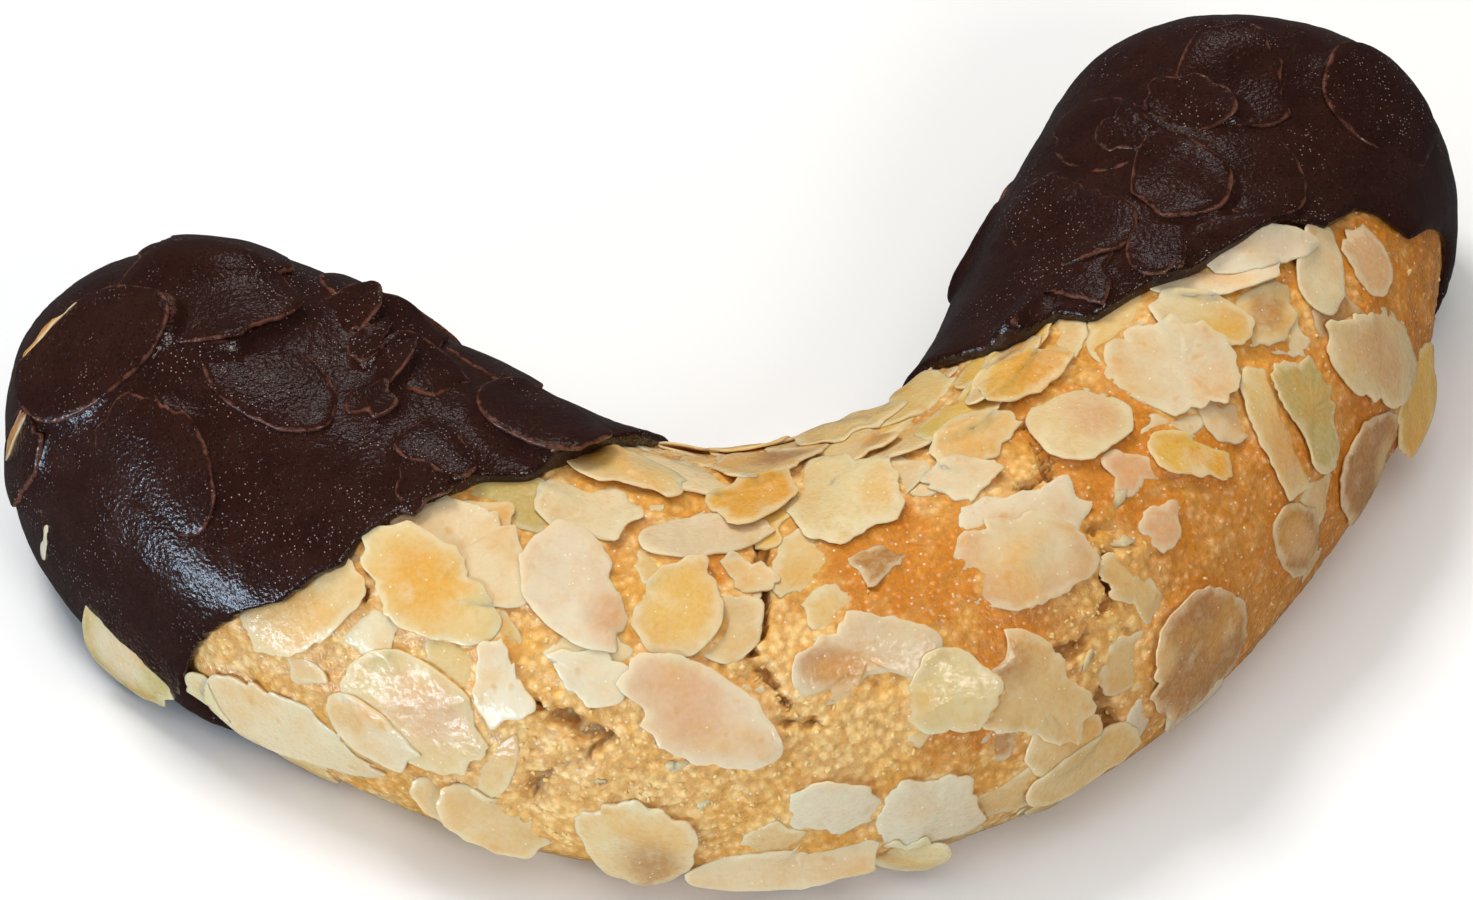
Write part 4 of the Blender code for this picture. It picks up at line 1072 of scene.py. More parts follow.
def chocolate_finish(look):
    """Set dark chocolate: a fine pebbled skin, half glossy, with thin red-brown rims over almond edges,
    painted shade in its pores and painted sparkles.
    """
    material, tree, shader, place = start_material("dark_chocolate")
    cloud = texture(tree, place, 4.0 * MM, 3.0, 0.6)
    pebble = texture(tree, place, 0.4 * MM, 2.0, 0.5)
    worn = maths(tree, "ADD", attribute(tree, "edge"),
                 ranged(tree, texture(tree, place, 1.2 * MM, 2.0), 0.3, 0.7, -0.12, 0.3))
    # Patches where the painted sparkles lie
    sparkle_patches = ranged(tree, texture(tree, place, 7.0 * MM, 2.0), 0.48, 0.62)
    color = layered(
        tree, look.chocolate_color,
        (ranged(tree, cloud, 0.35, 0.7), look.milky_color),
        (ranged(tree, worn, 0.35, 0.05, 0.0, 1.0), look.rim_color),
        # Painted shade: darker specks for the shade in the chocolate's fine pits
        (specks(tree, place, 0.38 * MM, 0.7, 0.4, 0.6), look.pore_shade_color),
        # Painted highlight: fine bright specks stand in for the chocolate's glints
        (specks(tree, place, 0.3 * MM, 0.42, 0.24, sparkle_patches), look.painted_sparkle_color))
    normal = bumped(tree, pebble, 0.16 * MM, 0.6)
    beads = bumped(tree, glints(tree, place, 0.3 * MM, 0.35), 0.1 * MM, 1.0, normal)
    connect(tree, shader, Base_Color=color, Normal=normal, Metallic=0.0, IOR=1.5, Specular_IOR_Level=0.15,
            Roughness=ranged(tree, cloud, 0.3, 0.7, 0.21, 0.29), Coat_Weight=0.6, Coat_Roughness=0.12,
            Coat_Normal=beads)
    return material


def edge_along(side, around, grow):
    """Where the dip line crosses the surface on one side, as along for each angle round."""
    inner = np.full(around.shape, side * EDGE_START)
    outer = np.full(around.shape, side * (TIP - EDGE_END))
    for _ in range(EDGE_HALVINGS):
        middle = (inner + outer) / 2
        point = surface(middle, around, grow)
        beyond = point[..., 1] > dip_line(point[..., 0])
        outer = np.where(beyond, middle, outer)
        inner = np.where(beyond, inner, middle)
    return (inner + outer) / 2


def turns(step):
    """Angles round a section: a fine step where the horn shows and a wide one under its base."""
    start, hidden, end = SHOWN_TURNS
    return np.radians(np.concatenate([np.arange(start, hidden, step), np.arange(hidden, end, HIDDEN_STEP)]))


def dough_rows(look, around):
    """Rows of the dough as along for each angle round, and the two that its bare middle runs between."""
    left = edge_along(-1, around, 0.0) - DOUGH_OVERLAP
    right = edge_along(1, around, 0.0) + DOUGH_OVERLAP
    even = np.linspace(0, 1, TIP_ROWS)[1:-1, None]
    out = smooth_step(even) * 0.5 + even ** 2 * 0.5
    shown = np.linspace(0, 1, look.dough_rows)[:, None]
    along = np.concatenate([-TIP + (left + TIP) * out, left + (right - left) * shown,
                            (TIP - (TIP - right) * out)[::-1]])
    return along, left, right


def make_dough(look):
    """The dough crescent with its cracks, toasted patches, crumbs of grain and painted shade at flake edges
    and on the right flank.
    """
    around = turns(look.dough_step)
    along, left, right = dough_rows(look, around)
    turn = np.broadcast_to(around, along.shape)
    spot = frame_at(along, turn)
    bare = smooth_step((along - left) / DOUGH_FADE) * smooth_step((right - along) / DOUGH_FADE)
    side = np.clip(np.sin(turn) * 2.0 + 0.9, 0.0, 1.0) * bare
    heights = flake_stack(look.flake_thickness)[1]
    cover = sample(blurred((heights > 0).astype(float), COVER_BLUR), along, turn)
    under = smooth_step((cover - 0.45) / 0.4)
    crack = crack_depth(along, turn) * side
    sheet = unrolled(along, turn)
    bank = BANK_SHARE * sample(blurred(np.minimum(heights, BANK_FLAKE), BANK_BLUR), along, turn)
    bank = np.minimum(bank, BANK_MOST) * (1 - smooth_step(crack * 3))
    relief = side * (ripples(sheet, DOUGH_ROUGHNESS) * (1 - under) + bank) - look.crack_depth * crack
    rings = spot.point + spot.normal * relief[..., None]
    rings[..., 2] = np.maximum(rings[..., 2], 0.0)
    dough = loft("almond_dough", rings, surface(-TIP, 0.0), surface(TIP, 0.0))
    # The right arm's outer flank is browned, partly as painted shade on that side
    flank = smooth_step((along - FLANK_START) / FLANK_RAMP) * smooth_step((FLANK_TOP - turn) / 0.8)
    foot = 1 - smooth_step(spot.point[..., 2] / BROWN_FOOT)
    # Caramel glaze gathered at the flakes' edges, partly painted shade along them
    pooled_glaze_and_shade = 4 * cover * (1 - cover) * smooth_step(0.6 + speckle(sheet, 3.5 * MM, 11.0))
    toast_and_shade = np.maximum(patches(TOASTED, along, turn), 0.75 * flank) * (1 - 0.8 * crack)
    crumb = np.maximum(patches(CRUMBLY, along, turn), 0.6 * smooth_step(crack * 1.5))
    loose = side * (1 - smooth_step(cover * 2.0)) * (0.07 + 0.93 * crumb) * (turn < LAST_LOOSE)
    values = {
        "toast_and_shade": toast_and_shade + 0.25 * foot + 0.55 * pooled_glaze_and_shade, "crumb": crumb,
        # The deepest part of each crack, where the dough's colour paints shade
        "crack": smooth_step((crack - 0.35) / 0.5), "bare": side * (1 - under) * (0.6 + 0.4 * crumb),
        "loose": loose,
    }
    for name, value in values.items():
        set_values(dough, name, np.append(value.ravel(), (0.0, 0.0)))
    return dough


def start_tree(name, sizes):
    """Geometry node tree with a mesh going in and out and named inputs."""
    tree = bpy.data.node_groups.new(name, "GeometryNodeTree")
    tree.interface.new_socket("Geometry", in_out="INPUT", socket_type="NodeSocketGeometry")
    for label, kind, value in sizes:
        socket = tree.interface.new_socket(label, in_out="INPUT", socket_type="NodeSocket" + kind)
        socket.default_value = value
    tree.interface.new_socket("Geometry", in_out="OUTPUT", socket_type="NodeSocketGeometry")
    return tree, tree.nodes.new("NodeGroupInput").outputs, tree.nodes.new("NodeGroupOutput").inputs


def run_tree(piece, tree, **values):
    """Run a tree on a piece with its inputs set, and keep the result as the piece's plain mesh."""
    modifier = piece.modifiers.new(tree.name, "NODES")
    modifier.node_group = tree
    for item in tree.interface.items_tree:
        if item.item_type == "SOCKET" and item.in_out == "INPUT" and item.name in values:
            modifier[item.identifier] = values[item.name]
    graph = bpy.context.evaluated_depsgraph_get()
    mesh = bpy.data.meshes.new_from_object(piece.evaluated_get(graph))
    piece.modifiers.clear()
    piece.data = mesh


def stored(tree, name):
    """A mesh's own stored number in a geometry tree."""
    return add(tree, "GeometryNodeInputNamedAttribute", {"Name": name}, data_type="FLOAT").outputs[0]


def grown(tree, vector, factor):
    """A vector times a number."""
    return add(tree, "ShaderNodeVectorMath", {0: vector, "Scale": factor}, operation="SCALE").outputs[0]


def grain_tree():
    """Tree that raises baked grain on a mesh wherever its bare value says."""
    sizes = (("Height", "Float", 0.3 * MM), ("Size", "Float", 0.9 * MM))
    tree, given, out = start_tree("baked_grain", sizes)
    place = add(tree, "GeometryNodeInputPosition").outputs[0]
    scale = maths(tree, "DIVIDE", 1.0, given["Size"])
    cells = add(tree, "ShaderNodeTexVoronoi", {"Vector": place, "Scale": scale, "Smoothness": 0.6,
                                               "Randomness": 1.0}, feature="SMOOTH_F1").outputs["Distance"]
    waves = add(tree, "ShaderNodeTexNoise", {"Vector": place, "Scale": maths(tree, "MULTIPLY", scale, 0.5),
                                             "Detail": 3.0, "Roughness": 0.65}).outputs[0]
    fine = add(tree, "ShaderNodeTexVoronoi", {"Vector": place, "Scale": maths(tree, "MULTIPLY", scale, 1.9)},
               feature="F1").outputs["Distance"]
    height = maths(tree, "ADD", maths(tree, "MULTIPLY", cells, -1.0), maths(tree, "MULTIPLY", waves, 1.7))
    height = maths(tree, "ADD", height, maths(tree, "MULTIPLY", fine, -0.25))
    height = maths(tree, "MULTIPLY", maths(tree, "SUBTRACT", height, 0.25), given["Height"])
    height = maths(tree, "MULTIPLY", height, stored(tree, "bare"))
    offset = grown(tree, add(tree, "GeometryNodeInputNormal").outputs[0], height)
    moved = add(tree, "GeometryNodeSetPosition", {"Geometry": given["Geometry"], "Offset": offset})
    tree.links.new(moved.outputs[0], out["Geometry"])
    return tree


def scatter_tree(name, material, flat):
    """Tree that strews uneven grains over a mesh where its loose value says; flat ones lie as chips."""
    sizes = (("Density", "Float", 1.0e6), ("Size", "Float", 0.5 * MM), ("Seed", "Int", 1))
    tree, given, out = start_tree(name, sizes)
    if flat:
        grain = add(tree, "GeometryNodeMeshCylinder", {"Vertices": 6, "Radius": 0.5, "Depth": 0.6})
        low, high, tilt = (0.7, 0.6, 0.2), (2.0, 1.5, 0.3), 0.35
    else:
        grain = add(tree, "GeometryNodeMeshIcoSphere", {"Radius": 0.5, "Subdivisions": 2})
        low, high, tilt = (0.5, 0.5, 0.4), (1.5, 1.3, 0.9), math.pi
    density = maths(tree, "MULTIPLY", stored(tree, "loose"), given["Density"])
    points = add(tree, "GeometryNodeDistributePointsOnFaces",
                 {"Mesh": given["Geometry"], "Density": density, "Seed": given["Seed"]}).outputs
    uneven = add(tree, "ShaderNodeTexNoise", {"Scale": 2.2}, noise_dimensions="3D").outputs["Color"]
    stray = add(tree, "ShaderNodeVectorMath", {0: uneven, 1: (0.5, 0.5, 0.5)}, operation="SUBTRACT")
    rough = add(tree, "GeometryNodeSetPosition", {"Geometry": grain.outputs["Mesh"],
                                                  "Offset": stray.outputs[0]}).outputs[0]
    size, turn = (add(tree, "FunctionNodeRandomValue", {"Min": least, "Max": most, "Seed": given["Seed"]},
                      data_type="FLOAT_VECTOR").outputs[0]
                  for least, most in ((low, high), ((-tilt, -tilt, -math.pi), (tilt, tilt, math.pi))))
    placed = add(tree, "GeometryNodeInstanceOnPoints",
                 {"Points": points["Points"], "Instance": rough, "Rotation": points["Rotation"],
                  "Scale": grown(tree, size, given["Size"])})
    turned = add(tree, "GeometryNodeRotateInstances", {"Instances": placed.outputs[0], "Rotation": turn})
    plain = add(tree, "GeometryNodeRealizeInstances", {"Geometry": turned.outputs[0]})
    smooth = add(tree, "GeometryNodeSetShadeSmooth", {"Geometry": plain.outputs[0]})
    coated = add(tree, "GeometryNodeSetMaterial", {"Geometry": smooth.outputs[0], "Material": material})
    tree.links.new(coated.outputs[0], out["Geometry"])
    return tree


def flake_color(flake, p, q, sheet, draw):
    """Colour of a flake's points: its tone, its patch and a little of its own."""
    color = np.broadcast_to(np.array(TONES[flake.tone]), (*p.shape, 3)).copy()
    if flake.patch:
        tone, u, v, size = flake.patch
        far = np.hypot(p / flake.half[0] - u, (q / flake.half[1] - v) * 0.8) / size
        far = far + 0.45 * speckle(sheet, 2.6 * MM, 7.0)
        amount = smooth_step(1.45 - far)[..., None] * 0.85
        color = color * (1 - amount) + np.array(TONES[tone]) * amount
    start = draw.uniform(0, 40)
    stain = 0.1 + 1.1 * speckle(sheet, 4.5 * MM, start) + 0.45 * speckle(sheet, 1.4 * MM, start)
    glazed = smooth_step(stain)[..., None] * 0.55
    color = color * (1 - glazed) + np.array(TONES["gold"]) * glazed
    own = np.array([1.0, 1 + draw.uniform(-0.03, 0.03), 1 + draw.uniform(-0.1, 0.1)])
    return color * (own * draw.uniform(0.92, 1.05))


def flake_layers(flake, thickness, uneven):
    """Rings of a thin closed sheet, from its top round its edge to its underside, and its two middles.

    They come as the number of rings, points p and q, heights and shares of the way out.
    """
    p, q, sheet = flake.p, flake.q, flake.sheet
    count = p.shape[1]
    inset = np.minimum(EDGE_ROUNDING / np.hypot(p[-1], q[-1]), EDGE_MOST)
    layers = [(share, 1.0) for share in RINGS[1:-1]]
    layers += [(1 - step * inset, high) for step, high in EDGE_PROFILE]
    layers.append((UNDERSIDE_RING, 0.0))
    rows = []
    for share, high in layers:
        share = np.broadcast_to(share, (count,))
        low, t = ring_at(share)
        side = np.arange(count)
        level = sheet[low, side] * (1 - t) + sheet[low + 1, side] * t
        height = level + high * thickness * uneven * (1 - EDGE_THINNING * share**3)
        rows.append((p[-1] * share, q[-1] * share, height, share))
    middle = np.array([sheet[0, 0] + thickness * uneven, sheet[0, 0]])
    rows.append((np.zeros(2), np.zeros(2), middle, np.zeros(2)))
    return len(layers), *(np.concatenate(column) for column in zip(*rows))


def flake_mesh(flake, thickness, draw):
    """Points, faces, colours and rim values of a flake as a thin closed sheet with rounded torn edges."""
    uneven = 1 + 0.1 * draw.uniform(-1, 1)
    layers, p, q, height, share = flake_layers(flake, thickness, uneven)
    forward, sideways, along, around = flake_place(flake, p, q)
    sheet = unrolled(along, around)
    ripple = FLAKE_RIPPLE * speckle(sheet, FLAKE_RIPPLE_SIZE, 4.0 + flake.along * 900)
    height = (height + ripple)[:, None]
    spot, middle = frame_at(along, around), frame_at(flake.along, flake.around)
    bent = spot.point + spot.normal * height
    stiff = middle.point + middle.run * forward[:, None] + middle.swing * sideways[:, None] \
        + middle.normal * height
    made = bent * (1 - FLAKE_STIFFNESS) + stiff * FLAKE_STIFFNESS
    if flake.kind == "bare":
        beyond = (made[:, 1] - dip_line(made[:, 0]) - DIVE_START) / DIVE_RAMP
        made = made - spot.normal * DIVE_DEPTH * smooth_step(beyond)[:, None]
    made[:, 2] = np.maximum(made[:, 2], LOWEST_FLAKE)
    faces = tube_faces(layers, flake.p.shape[1], first_corner=1)
    size = np.hypot(flake.p[-1], flake.q[-1])
    edge = (1 - share) * np.append(np.tile(size, layers), (1.0, 1.0)) / MM
    color = None if flake.kind == "plate" else flake_color(flake, p, q, sheet, draw)
    return made, faces, color, edge


def make_flake_piece(name, flakes, thickness, seed):
    """One mesh of many flakes with the distance to their edges in mm, and their colours where bare."""
    draw = random.Random(seed)
    points, faces, colors, edges, start = [], [], [], [], 0
    for flake in flakes:
        made, own_faces, color, edge = flake_mesh(flake, thickness, draw)
        points.append(made)
        if color is not None:
            colors.append(color)
        edges.append(edge)
        faces += [[corner + start for corner in face] for face in own_faces]
        start += len(made)
    piece = new_piece(name, np.concatenate(points), faces)
    if colors:
        set_colors(piece, "almond", np.concatenate(colors))
    set_values(piece, "edge", np.concatenate(edges))
    return piece


def coat_relief(look):
    """Relief of the chocolate over the stack, where bare flakes lie under its lip, and its thin rims."""
    _, heights, skin = flake_stack(look.flake_thickness)
    relief = np.where(heights > 0, np.maximum(heights + skin - COAT_TOP, 0.0), 0.0)
    bare = (heights > 0) & (skin == SKINS["bare"])
    relief = np.maximum(relief, spread(np.where(bare, relief, 0.0), WIDENING))
    covering = blurred(spread(bare.astype(float), WIDENING), BARE_LIP_BLUR)
    crisp, soft = blurred(relief, look.softness), blurred(relief, SOFT_BLUR)
    raised = smooth_step((crisp - CRISP_FROM) / CRISP_RAMP)
    relief = np.maximum(crisp * raised + soft * (1 - raised), BRIDGE_SHARE * blurred(relief, BRIDGE_BLUR))
    sheet = unrolled(*np.meshgrid(STACK_ALONG[::2], STACK_AROUND[::2], indexing="ij"))
    waves = np.repeat(np.repeat(ripples(sheet, COAT_WAVES), 2, 0), 2, 1)
    rims = smooth_step((crisp - blurred(crisp, RIM_BLUR)) / RIM_RISE - 0.35)
    return relief + waves[:relief.shape[0], :relief.shape[1]] + COAT_SWELL, covering, rims


def coat_points(along, around, grow, extra):
    """Surface points grown outwards and then raised along the normal."""
    spot = frame_at(along, around, grow)
    return spot.point + spot.normal * np.broadcast_to(extra, along.shape)[..., None]


def eased(count):
    """Shares from 0 to 1 in a column, without the first, closer together at the start."""
    t = np.linspace(0, 1, count)[1:, None]
    return 0.45 * t + 0.55 * t * t


def make_coat(name, side, look):
    """A chocolate coat over one tip: a closed shell that flows over buried flakes to a rounded lip."""
    around = turns(look.coat_step)
    circle = np.stack([np.cos(around), np.sin(around), np.full_like(around, side * 2.0)], -1)
    edge = edge_along(side, around, COAT_TOP) + ripples(circle * LIP_CIRCLE * MM, LIP_WANDER)
    end = side * (TIP + COAT_TOP)
    along = end + (edge - end) * eased(look.coat_rows + 1)
    turn = np.broadcast_to(around, along.shape)
    relief, covering, rims = coat_relief(look)
    near = np.clip(1 - np.abs(along - edge) / LIP_ROUNDING, 0.0, 1.0)
    base = COAT_TOP - LIP_DROP * near**2 * (1 - sample(covering, along, turn))
    held = sample(relief, along, turn)
    rows = [coat_points(along, turn, base, held)]
    for step, share in LIP:
        place = edge - side * step * MM
        rows.append(coat_points(place, around, base[-1] * share, held[-1] * max(share, 0.0))[None])
    hidden = end - side * (COAT_TOP - INNER_WALL)
    inner = hidden + (edge + side * INNER_OVERLAP - hidden) * eased(INNER_ROWS)[:-1][::-1]
    rows.append(coat_points(inner, np.broadcast_to(around, inner.shape), INNER_WALL, 0.0))
    rings = np.concatenate(rows)
    rings[..., 2] = np.maximum(rings[..., 2], 0.0)
    rim = np.concatenate([sample(rims, along, turn), np.full((len(LIP), len(around)), 0.5),
                          np.zeros(inner.shape)])
    if side > 0:
        rings, rim = rings[:, ::-1], rim[:, ::-1]
    coat = loft(name, rings, surface(end, 0.0, COAT_TOP), surface(hidden, 0.0, INNER_WALL))
    set_values(coat, "edge", 1 - 0.9 * np.append(rim.ravel(), (0.0, 0.0)))
    return coat


class HornLook(bpy.types.PropertyGroup):
    """Sizes and colours of the almond horn's finish."""
    dough_color: FloatVectorProperty(name="Dough", description="Baked dough",
                                     default=(0.93, 0.61, 0.245), subtype="COLOR", **SHARE)
    golden_color: FloatVectorProperty(name="Golden dough", description="Dough the oven browned a little",
                                      default=(0.81, 0.41, 0.078), subtype="COLOR", **SHARE)
    caramel_color: FloatVectorProperty(name="Caramel", description="Browned glaze in its patches",
                                       default=(0.67, 0.225, 0.014), subtype="COLOR", **SHARE)
    crumb_color: FloatVectorProperty(name="Crumb", description="Pale crumb in cracks and rough patches",
                                     default=(0.93, 0.60, 0.215), subtype="COLOR", **SHARE)
    # Partly the glaze's own amber, partly painted shade in the hollows between grains
    hollow_glaze_and_shade_color: FloatVectorProperty(name="Hollows", description="Glaze between the grains of the dough",
                                      default=(0.68, 0.28, 0.04), subtype="COLOR", **SHARE)
    # Painted shade deep in the cracks
    crack_shade_color: FloatVectorProperty(name="Crack", description="Deep parts of the cracks",
                                     default=(0.42, 0.21, 0.065), subtype="COLOR", **SHARE)
    # Also the painted highlight on the tops of the dough's grains
    pale_color: FloatVectorProperty(name="Pale almond", description="Whitest parts and cut rims of flakes",
                                    default=(0.80, 0.67, 0.44), subtype="COLOR", **SHARE)
    toasted_color: FloatVectorProperty(name="Toasted almond", description="Brownest parts of the flakes",
                                       default=(0.68, 0.32, 0.06), subtype="COLOR", **SHARE)
    chocolate_color: FloatVectorProperty(name="Chocolate", description="Thick dark chocolate",
                                         default=(0.020, 0.0056, 0.0036), subtype="COLOR", **SHARE)
    milky_color: FloatVectorProperty(name="Dull chocolate", description="Chocolate where it set dull",
                                     default=(0.030, 0.0092, 0.0056), subtype="COLOR", **SHARE)
    rim_color: FloatVectorProperty(name="Chocolate rim", description="Thin chocolate over almond edges",
                                   default=(0.14, 0.052, 0.031), subtype="COLOR", **SHARE)
    # Painted shade in the chocolate's fine pits
    pore_shade_color: FloatVectorProperty(name="Chocolate pores", description="Fine hollows of the chocolate",
                                    default=(0.008, 0.0025, 0.002), subtype="COLOR", **SHARE)
    # Painted highlight: colour of the painted sugar glints on dough and almonds
    painted_sugar_glint_color: FloatVectorProperty(name="Sugar", description="Fine crystals of the glaze",
                                     default=(0.95, 0.88, 0.72), subtype="COLOR", **SHARE)
    # Painted highlight: the chocolate's sparkles
    painted_sparkle_color: FloatVectorProperty(name="Sparkle", description="Fine crystals on the chocolate",
                                       default=(0.34, 0.27, 0.26), subtype="COLOR", **SHARE)
    floor_color: FloatVectorProperty(name="Floor", description="Plain pale floor",
                                     default=(0.93, 0.93, 0.93), subtype="COLOR", **SHARE)
    flake_thickness: FloatProperty(name="Flake thickness", description="Thickness of a flaked almond",
                                   default=0.36 * MM, min=0.3 * MM, max=1.5 * MM, unit="LENGTH")
    film: FloatProperty(name="Chocolate film", description="Chocolate over a buried flake",
                        default=0.25 * MM, min=0.1 * MM, max=2 * MM, unit="LENGTH")
    softness: FloatProperty(name="Softness", description="How far chocolate rounds the flakes' edges",
                            default=0.28 * MM, min=0.1 * MM, max=2 * MM, unit="LENGTH")
    grain_height: FloatProperty(name="Grain height", description="How far the baked grain stands up",
                                default=0.6 * MM, min=0.0, max=1.5 * MM, unit="LENGTH")
    grain_size: FloatProperty(name="Grain size", description="Size of a grain of the baked dough",
                              default=0.8 * MM, min=0.3 * MM, max=4 * MM, unit="LENGTH")
    crack_depth: FloatProperty(name="Crack depth", description="Depth of the cracks in the crust",
                               default=1.5 * MM, min=0.0, max=4 * MM, unit="LENGTH")
    crumb_size: FloatProperty(name="Crumb size", description="Size of a loose crumb",
                              default=0.5 * MM, min=0.1 * MM, max=2 * MM, unit="LENGTH")
    crumb_density: FloatProperty(name="Crumbs", description="Loose crumbs on a square metre of rough dough",
                                 default=4.0e5, min=0.0, max=1.0e7)
    chip_size: FloatProperty(name="Chip size", description="Size of a small almond chip",
                             default=1.15 * MM, min=0.2 * MM, max=4 * MM, unit="LENGTH")
    chip_density: FloatProperty(name="Chips", description="Almond chips on a square metre of rough dough",
                                default=1.6e4, min=0.0, max=1.0e6)
    dough_step: FloatProperty(name="Dough step", description="Angle between the dough's points, in degrees",
                              default=1.0, min=0.5, max=5.0)
    dough_rows: IntProperty(name="Dough rows", description="Rows of points along the bare dough",
                            default=320, min=60, max=400)
    coat_step: FloatProperty(name="Coat step", description="Angle between a coat's points, in degrees",
                             default=0.8, min=0.5, max=5.0)
    coat_rows: IntProperty(name="Coat rows", description="Rows of points along a coat",
                           default=235, min=50, max=260)
    key_power: FloatProperty(name="Window light", description="Cool light from the left",
                             default=3.5, min=0.0, max=100.0, unit="POWER")
    fill_power: FloatProperty(name="Overhead light", description="Broad light from above and behind",
                              default=4.6, min=0.0, max=100.0, unit="POWER")
    camera_distance: FloatProperty(name="Camera distance", description="From the camera to the horn",
                                   default=0.4888, min=0.1, max=5.0, unit="LENGTH")


class HORN_OT_dough(bpy.types.Operator):
    """Build the baked dough crescent"""
    bl_idname = "almond_horn.dough"
    bl_label = "Dough"

    def execute(self, context):
        look = context.scene.almond_horn
        dough = make_dough(look)
        run_tree(dough, grain_tree(), Height=look.grain_height, Size=look.grain_size)
        finish_piece(dough, "almond_crust", dough_finish(look), "almond_horn_body")
        return {"FINISHED"}


class HORN_OT_flakes(bpy.types.Operator):
    """Lay the almond flakes over the bare dough"""
    bl_idname = "almond_horn.flakes"
    bl_label = "Almond flakes"

    def execute(self, context):
        look = context.scene.almond_horn
        flakes = [one for one in flake_stack(look.flake_thickness)[0] if one.kind in ("bare", "bursting")]
        material = almond_finish(look)
        parts = (("flakes_left", [one for one in flakes if one.along < 0]),
                 ("flakes_right", [one for one in flakes if one.along >= 0]))
        for seed, (name, members) in enumerate(parts):
            piece = make_flake_piece(name, members, look.flake_thickness, seed)
            finish_piece(piece, "almond_crust", material)
        return {"FINISHED"}


class HORN_OT_crumbs(bpy.types.Operator):
    """Strew crumbs of dough and small almond chips over the rough places"""
    bl_idname = "almond_horn.crumbs"
    bl_label = "Crumbs and chips"

    def execute(self, context):
        look = context.scene.almond_horn
        dough = bpy.data.objects.get("almond_dough")
        if dough is None:
            raise RuntimeError("the dough is built before its crumbs")
        almond = bpy.data.materials["flaked_almond"]
        kinds = (("dough_crumbs", crumb_finish(look), False, look.crumb_density, look.crumb_size, 3),
                 ("almond_chips", almond, True, look.chip_density, look.chip_size, 8))
        for name, material, flat, density, size, seed in kinds:
            piece = bpy.data.objects.new(name, dough.data.copy())
            context.scene.collection.objects.link(piece)
            run_tree(piece, scatter_tree(name, material, flat), Density=density, Size=size, Seed=seed)
            if flat:
                count = len(piece.data.vertices)
                set_colors(piece, "almond", np.tile(TONES["ivory"], (count, 1)))
                set_values(piece, "edge", np.full(count, 2.0))
            finish_piece(piece, "almond_crust", material)
        return {"FINISHED"}


class HORN_OT_coats(bpy.types.Operator):
    """Flow a chocolate coat over each tip"""
    bl_idname = "almond_horn.coats"
    bl_label = "Chocolate coats"

    def execute(self, context):
        look = context.scene.almond_horn
        material = chocolate_finish(look)
        for name, side, node in (("coat_left", -1, "chocolate_left"), ("coat_right", 1, "chocolate_right")):
            finish_piece(make_coat(name, side, look), "dark_chocolate", material, node)
        flakes = [one for one in flake_stack(look.flake_thickness)[0] if one.kind == "plate"]
        for seed, (name, side) in enumerate((("coated_flakes_left", -1), ("coated_flakes_right", 1))):
            members = [one for one in flakes if one.along * side > 0]
            piece = make_flake_piece(name, members, look.flake_thickness + look.film, seed)
            finish_piece(piece, "dark_chocolate", material)
        return {"FINISHED"}


def aim_camera(look):
    """Camera at the photo's angle, with the horn where the photo has it in the picture."""
    a, e = CAMERA_AZIMUTH, CAMERA_ELEVATION
    back = np.array((math.sin(a) * math.cos(e), -math.cos(a) * math.cos(e), math.sin(e)))
    right = np.array((math.cos(a), math.sin(a), 0.0))
    up = np.cross(back, right)
    place = HORN_MIDDLE + back * look.camera_distance
    view = -back + right * (PHOTO_SIZE[0] / 2 - MIDDLE_PIXEL[0]) / LENS_PIXELS \
        + up * (MIDDLE_PIXEL[1] - PHOTO_SIZE[1] / 2) / LENS_PIXELS
    back = -view / np.linalg.norm(view)
    right = right - back * (right @ back)
    right /= np.linalg.norm(right)
    data = bpy.data.cameras.new("camera")
    data.sensor_width = SENSOR_WIDTH
    data.lens = LENS_PIXELS / PHOTO_SIZE[0] * SENSOR_WIDTH
    data.clip_start, data.clip_end = 0.01, 10.0
    camera = bpy.data.objects.new("camera", data)
    bpy.context.scene.collection.objects.link(camera)
    turn = np.stack([right, np.cross(back, right), back], 1)
    camera.matrix_world = Matrix.Translation(place.tolist()) @ Matrix(turn.tolist()).to_4x4()
    bpy.context.scene.camera = camera


def area_light(name, direction, distance, size, power, color, reflected=True):
    """Soft rectangular light that faces the horn, seen in glossy surfaces or only lighting them."""
    data = bpy.data.lights.new(name, "AREA")
    data.shape = "RECTANGLE"
    data.size, data.size_y = size
    data.energy, data.color = power, color
    light = bpy.data.objects.new(name, data)
    bpy.context.scene.collection.objects.link(light)
    way = np.array(direction, float)
    way /= np.linalg.norm(way)
    side = np.cross((0.0, 0.0, 1.0), way)
    side /= np.linalg.norm(side)
    turn = np.stack([side, np.cross(way, side), way], 1)
    light.matrix_world = Matrix.Translation((way * distance).tolist()) @ Matrix(turn.tolist()).to_4x4()
    light.visible_glossy = reflected


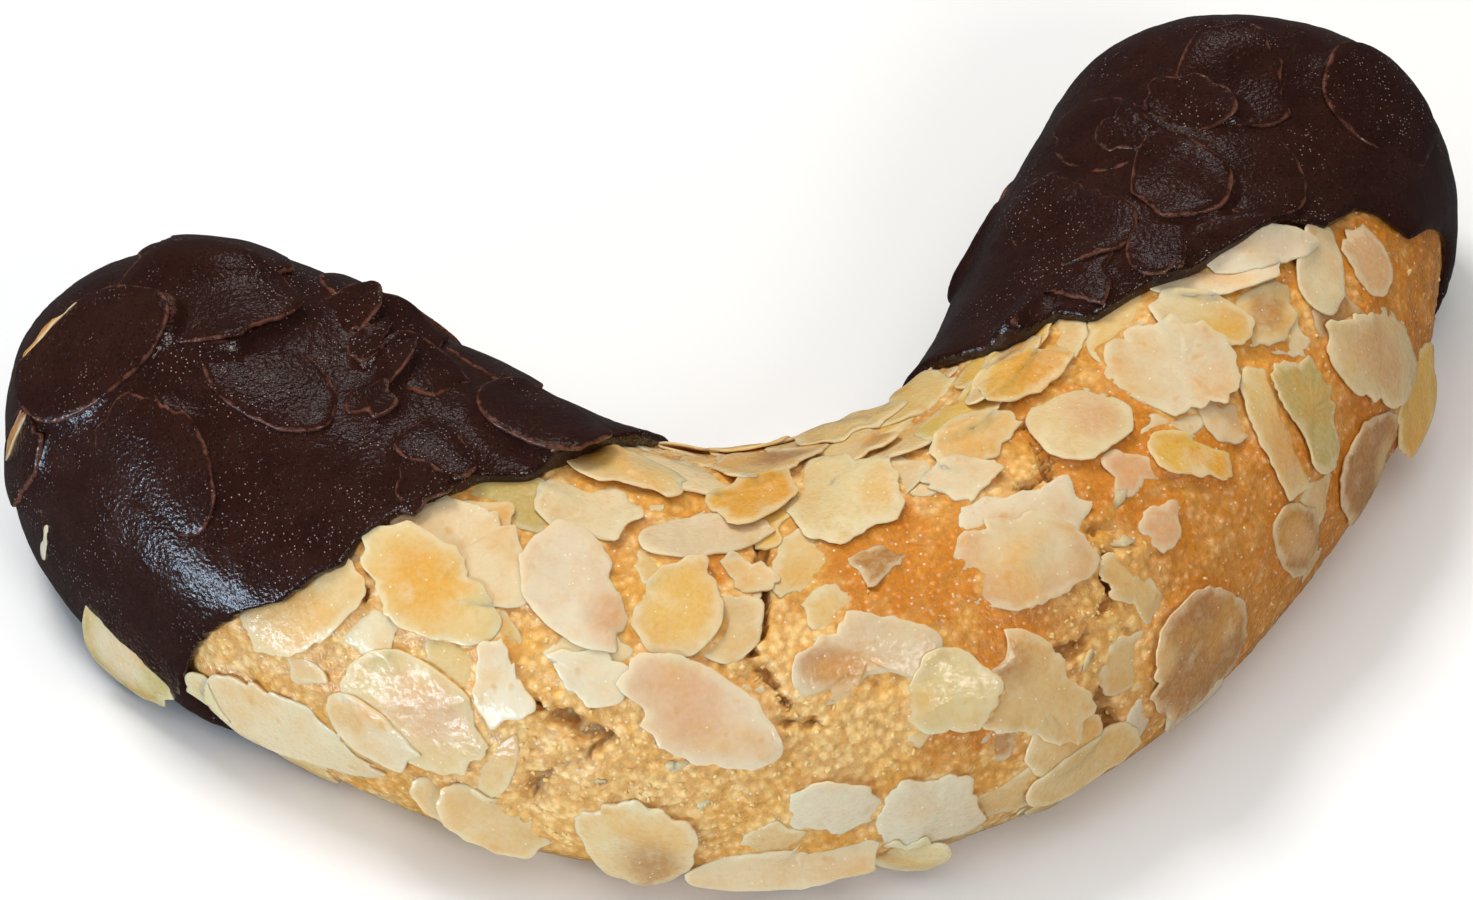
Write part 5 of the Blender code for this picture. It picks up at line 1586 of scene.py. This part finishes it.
def light_horn(look):
    """A cool window at the left, a broad soft sky over the horn and a warm reflector before it."""
    key, fill = look.key_power, look.fill_power
    area_light("window", (-0.89, -0.44, 0.14), 0.7, (0.5, 0.11), key, (0.62, 0.80, 1.0))
    area_light("behind", (0.1, 0.72, 0.7), 0.9, (0.24, 0.15), 0.07 * fill, (1.0, 1.0, 1.0))
    area_light("high", (-0.25, 0.5, 0.85), 1.0, (0.3, 0.3), 1.1 * fill, (1.0, 0.99, 0.97),
               reflected=False)
    area_light("overhead", (0.02, 0.05, 1.0), 1.2, (1.6, 1.6), 2.25 * fill, (1.0, 0.98, 0.95),
               reflected=False)
    area_light("front", (0.25, -0.75, 0.62), 1.0, (0.25, 0.25), 0.5 * fill, (1.0, 0.96, 0.90))
    world = bpy.data.worlds.new("studio")
    world.use_nodes = True
    connect(world.node_tree, world.node_tree.nodes["Background"], Color=WORLD_COLOR, Strength=WORLD_STRENGTH)
    bpy.context.scene.world = world


class HORN_OT_stage(bpy.types.Operator):
    """Set up the pale floor, the soft studio light and the camera"""
    bl_idname = "almond_horn.stage"
    bl_label = "Stage"

    def execute(self, context):
        look = context.scene.almond_horn
        half = FLOOR_HALF
        floor = new_piece("floor", [(-half, -half, 0), (half, -half, 0), (half, half, 0), (-half, half, 0)],
                          [(0, 1, 2, 3)])
        material, tree, shader, _ = start_material("pale_floor")
        connect(tree, shader, Base_Color=look.floor_color, Roughness=0.9, Specular_IOR_Level=0.1)
        floor.data.materials.append(material)
        floor.visible_glossy = False
        light_horn(look)
        context.scene.view_settings.view_transform = "Standard"
        aim_camera(look)
        return {"FINISHED"}


class HORN_PT_panel(bpy.types.Panel):
    """Almond horn pieces and looks"""
    bl_idname = "HORN_PT_panel"
    bl_label = "Almond Horn"
    bl_space_type = "VIEW_3D"
    bl_region_type = "UI"
    bl_category = "Almond Horn"

    def draw(self, context):
        for step in STEPS:
            self.layout.operator(step.bl_idname)
        for name in HornLook.__annotations__:
            self.layout.prop(context.scene.almond_horn, name)


STEPS = (HORN_OT_dough, HORN_OT_flakes, HORN_OT_crumbs, HORN_OT_coats, HORN_OT_stage)
CLASSES = (HornLook, *STEPS, HORN_PT_panel)


def register():
    """Make the settings, operators and panel known to Blender."""
    for one in CLASSES:
        bpy.utils.register_class(one)
    bpy.types.Scene.almond_horn = PointerProperty(type=HornLook)


def unregister():
    """Take them back."""
    del bpy.types.Scene.almond_horn
    for one in reversed(CLASSES):
        bpy.utils.unregister_class(one)


def main():
    """Build every piece in order."""
    register()
    bpy.ops.almond_horn.dough()
    bpy.ops.almond_horn.flakes()
    bpy.ops.almond_horn.crumbs()
    bpy.ops.almond_horn.coats()
    bpy.ops.almond_horn.stage()


if __name__ == "__main__":
    main()
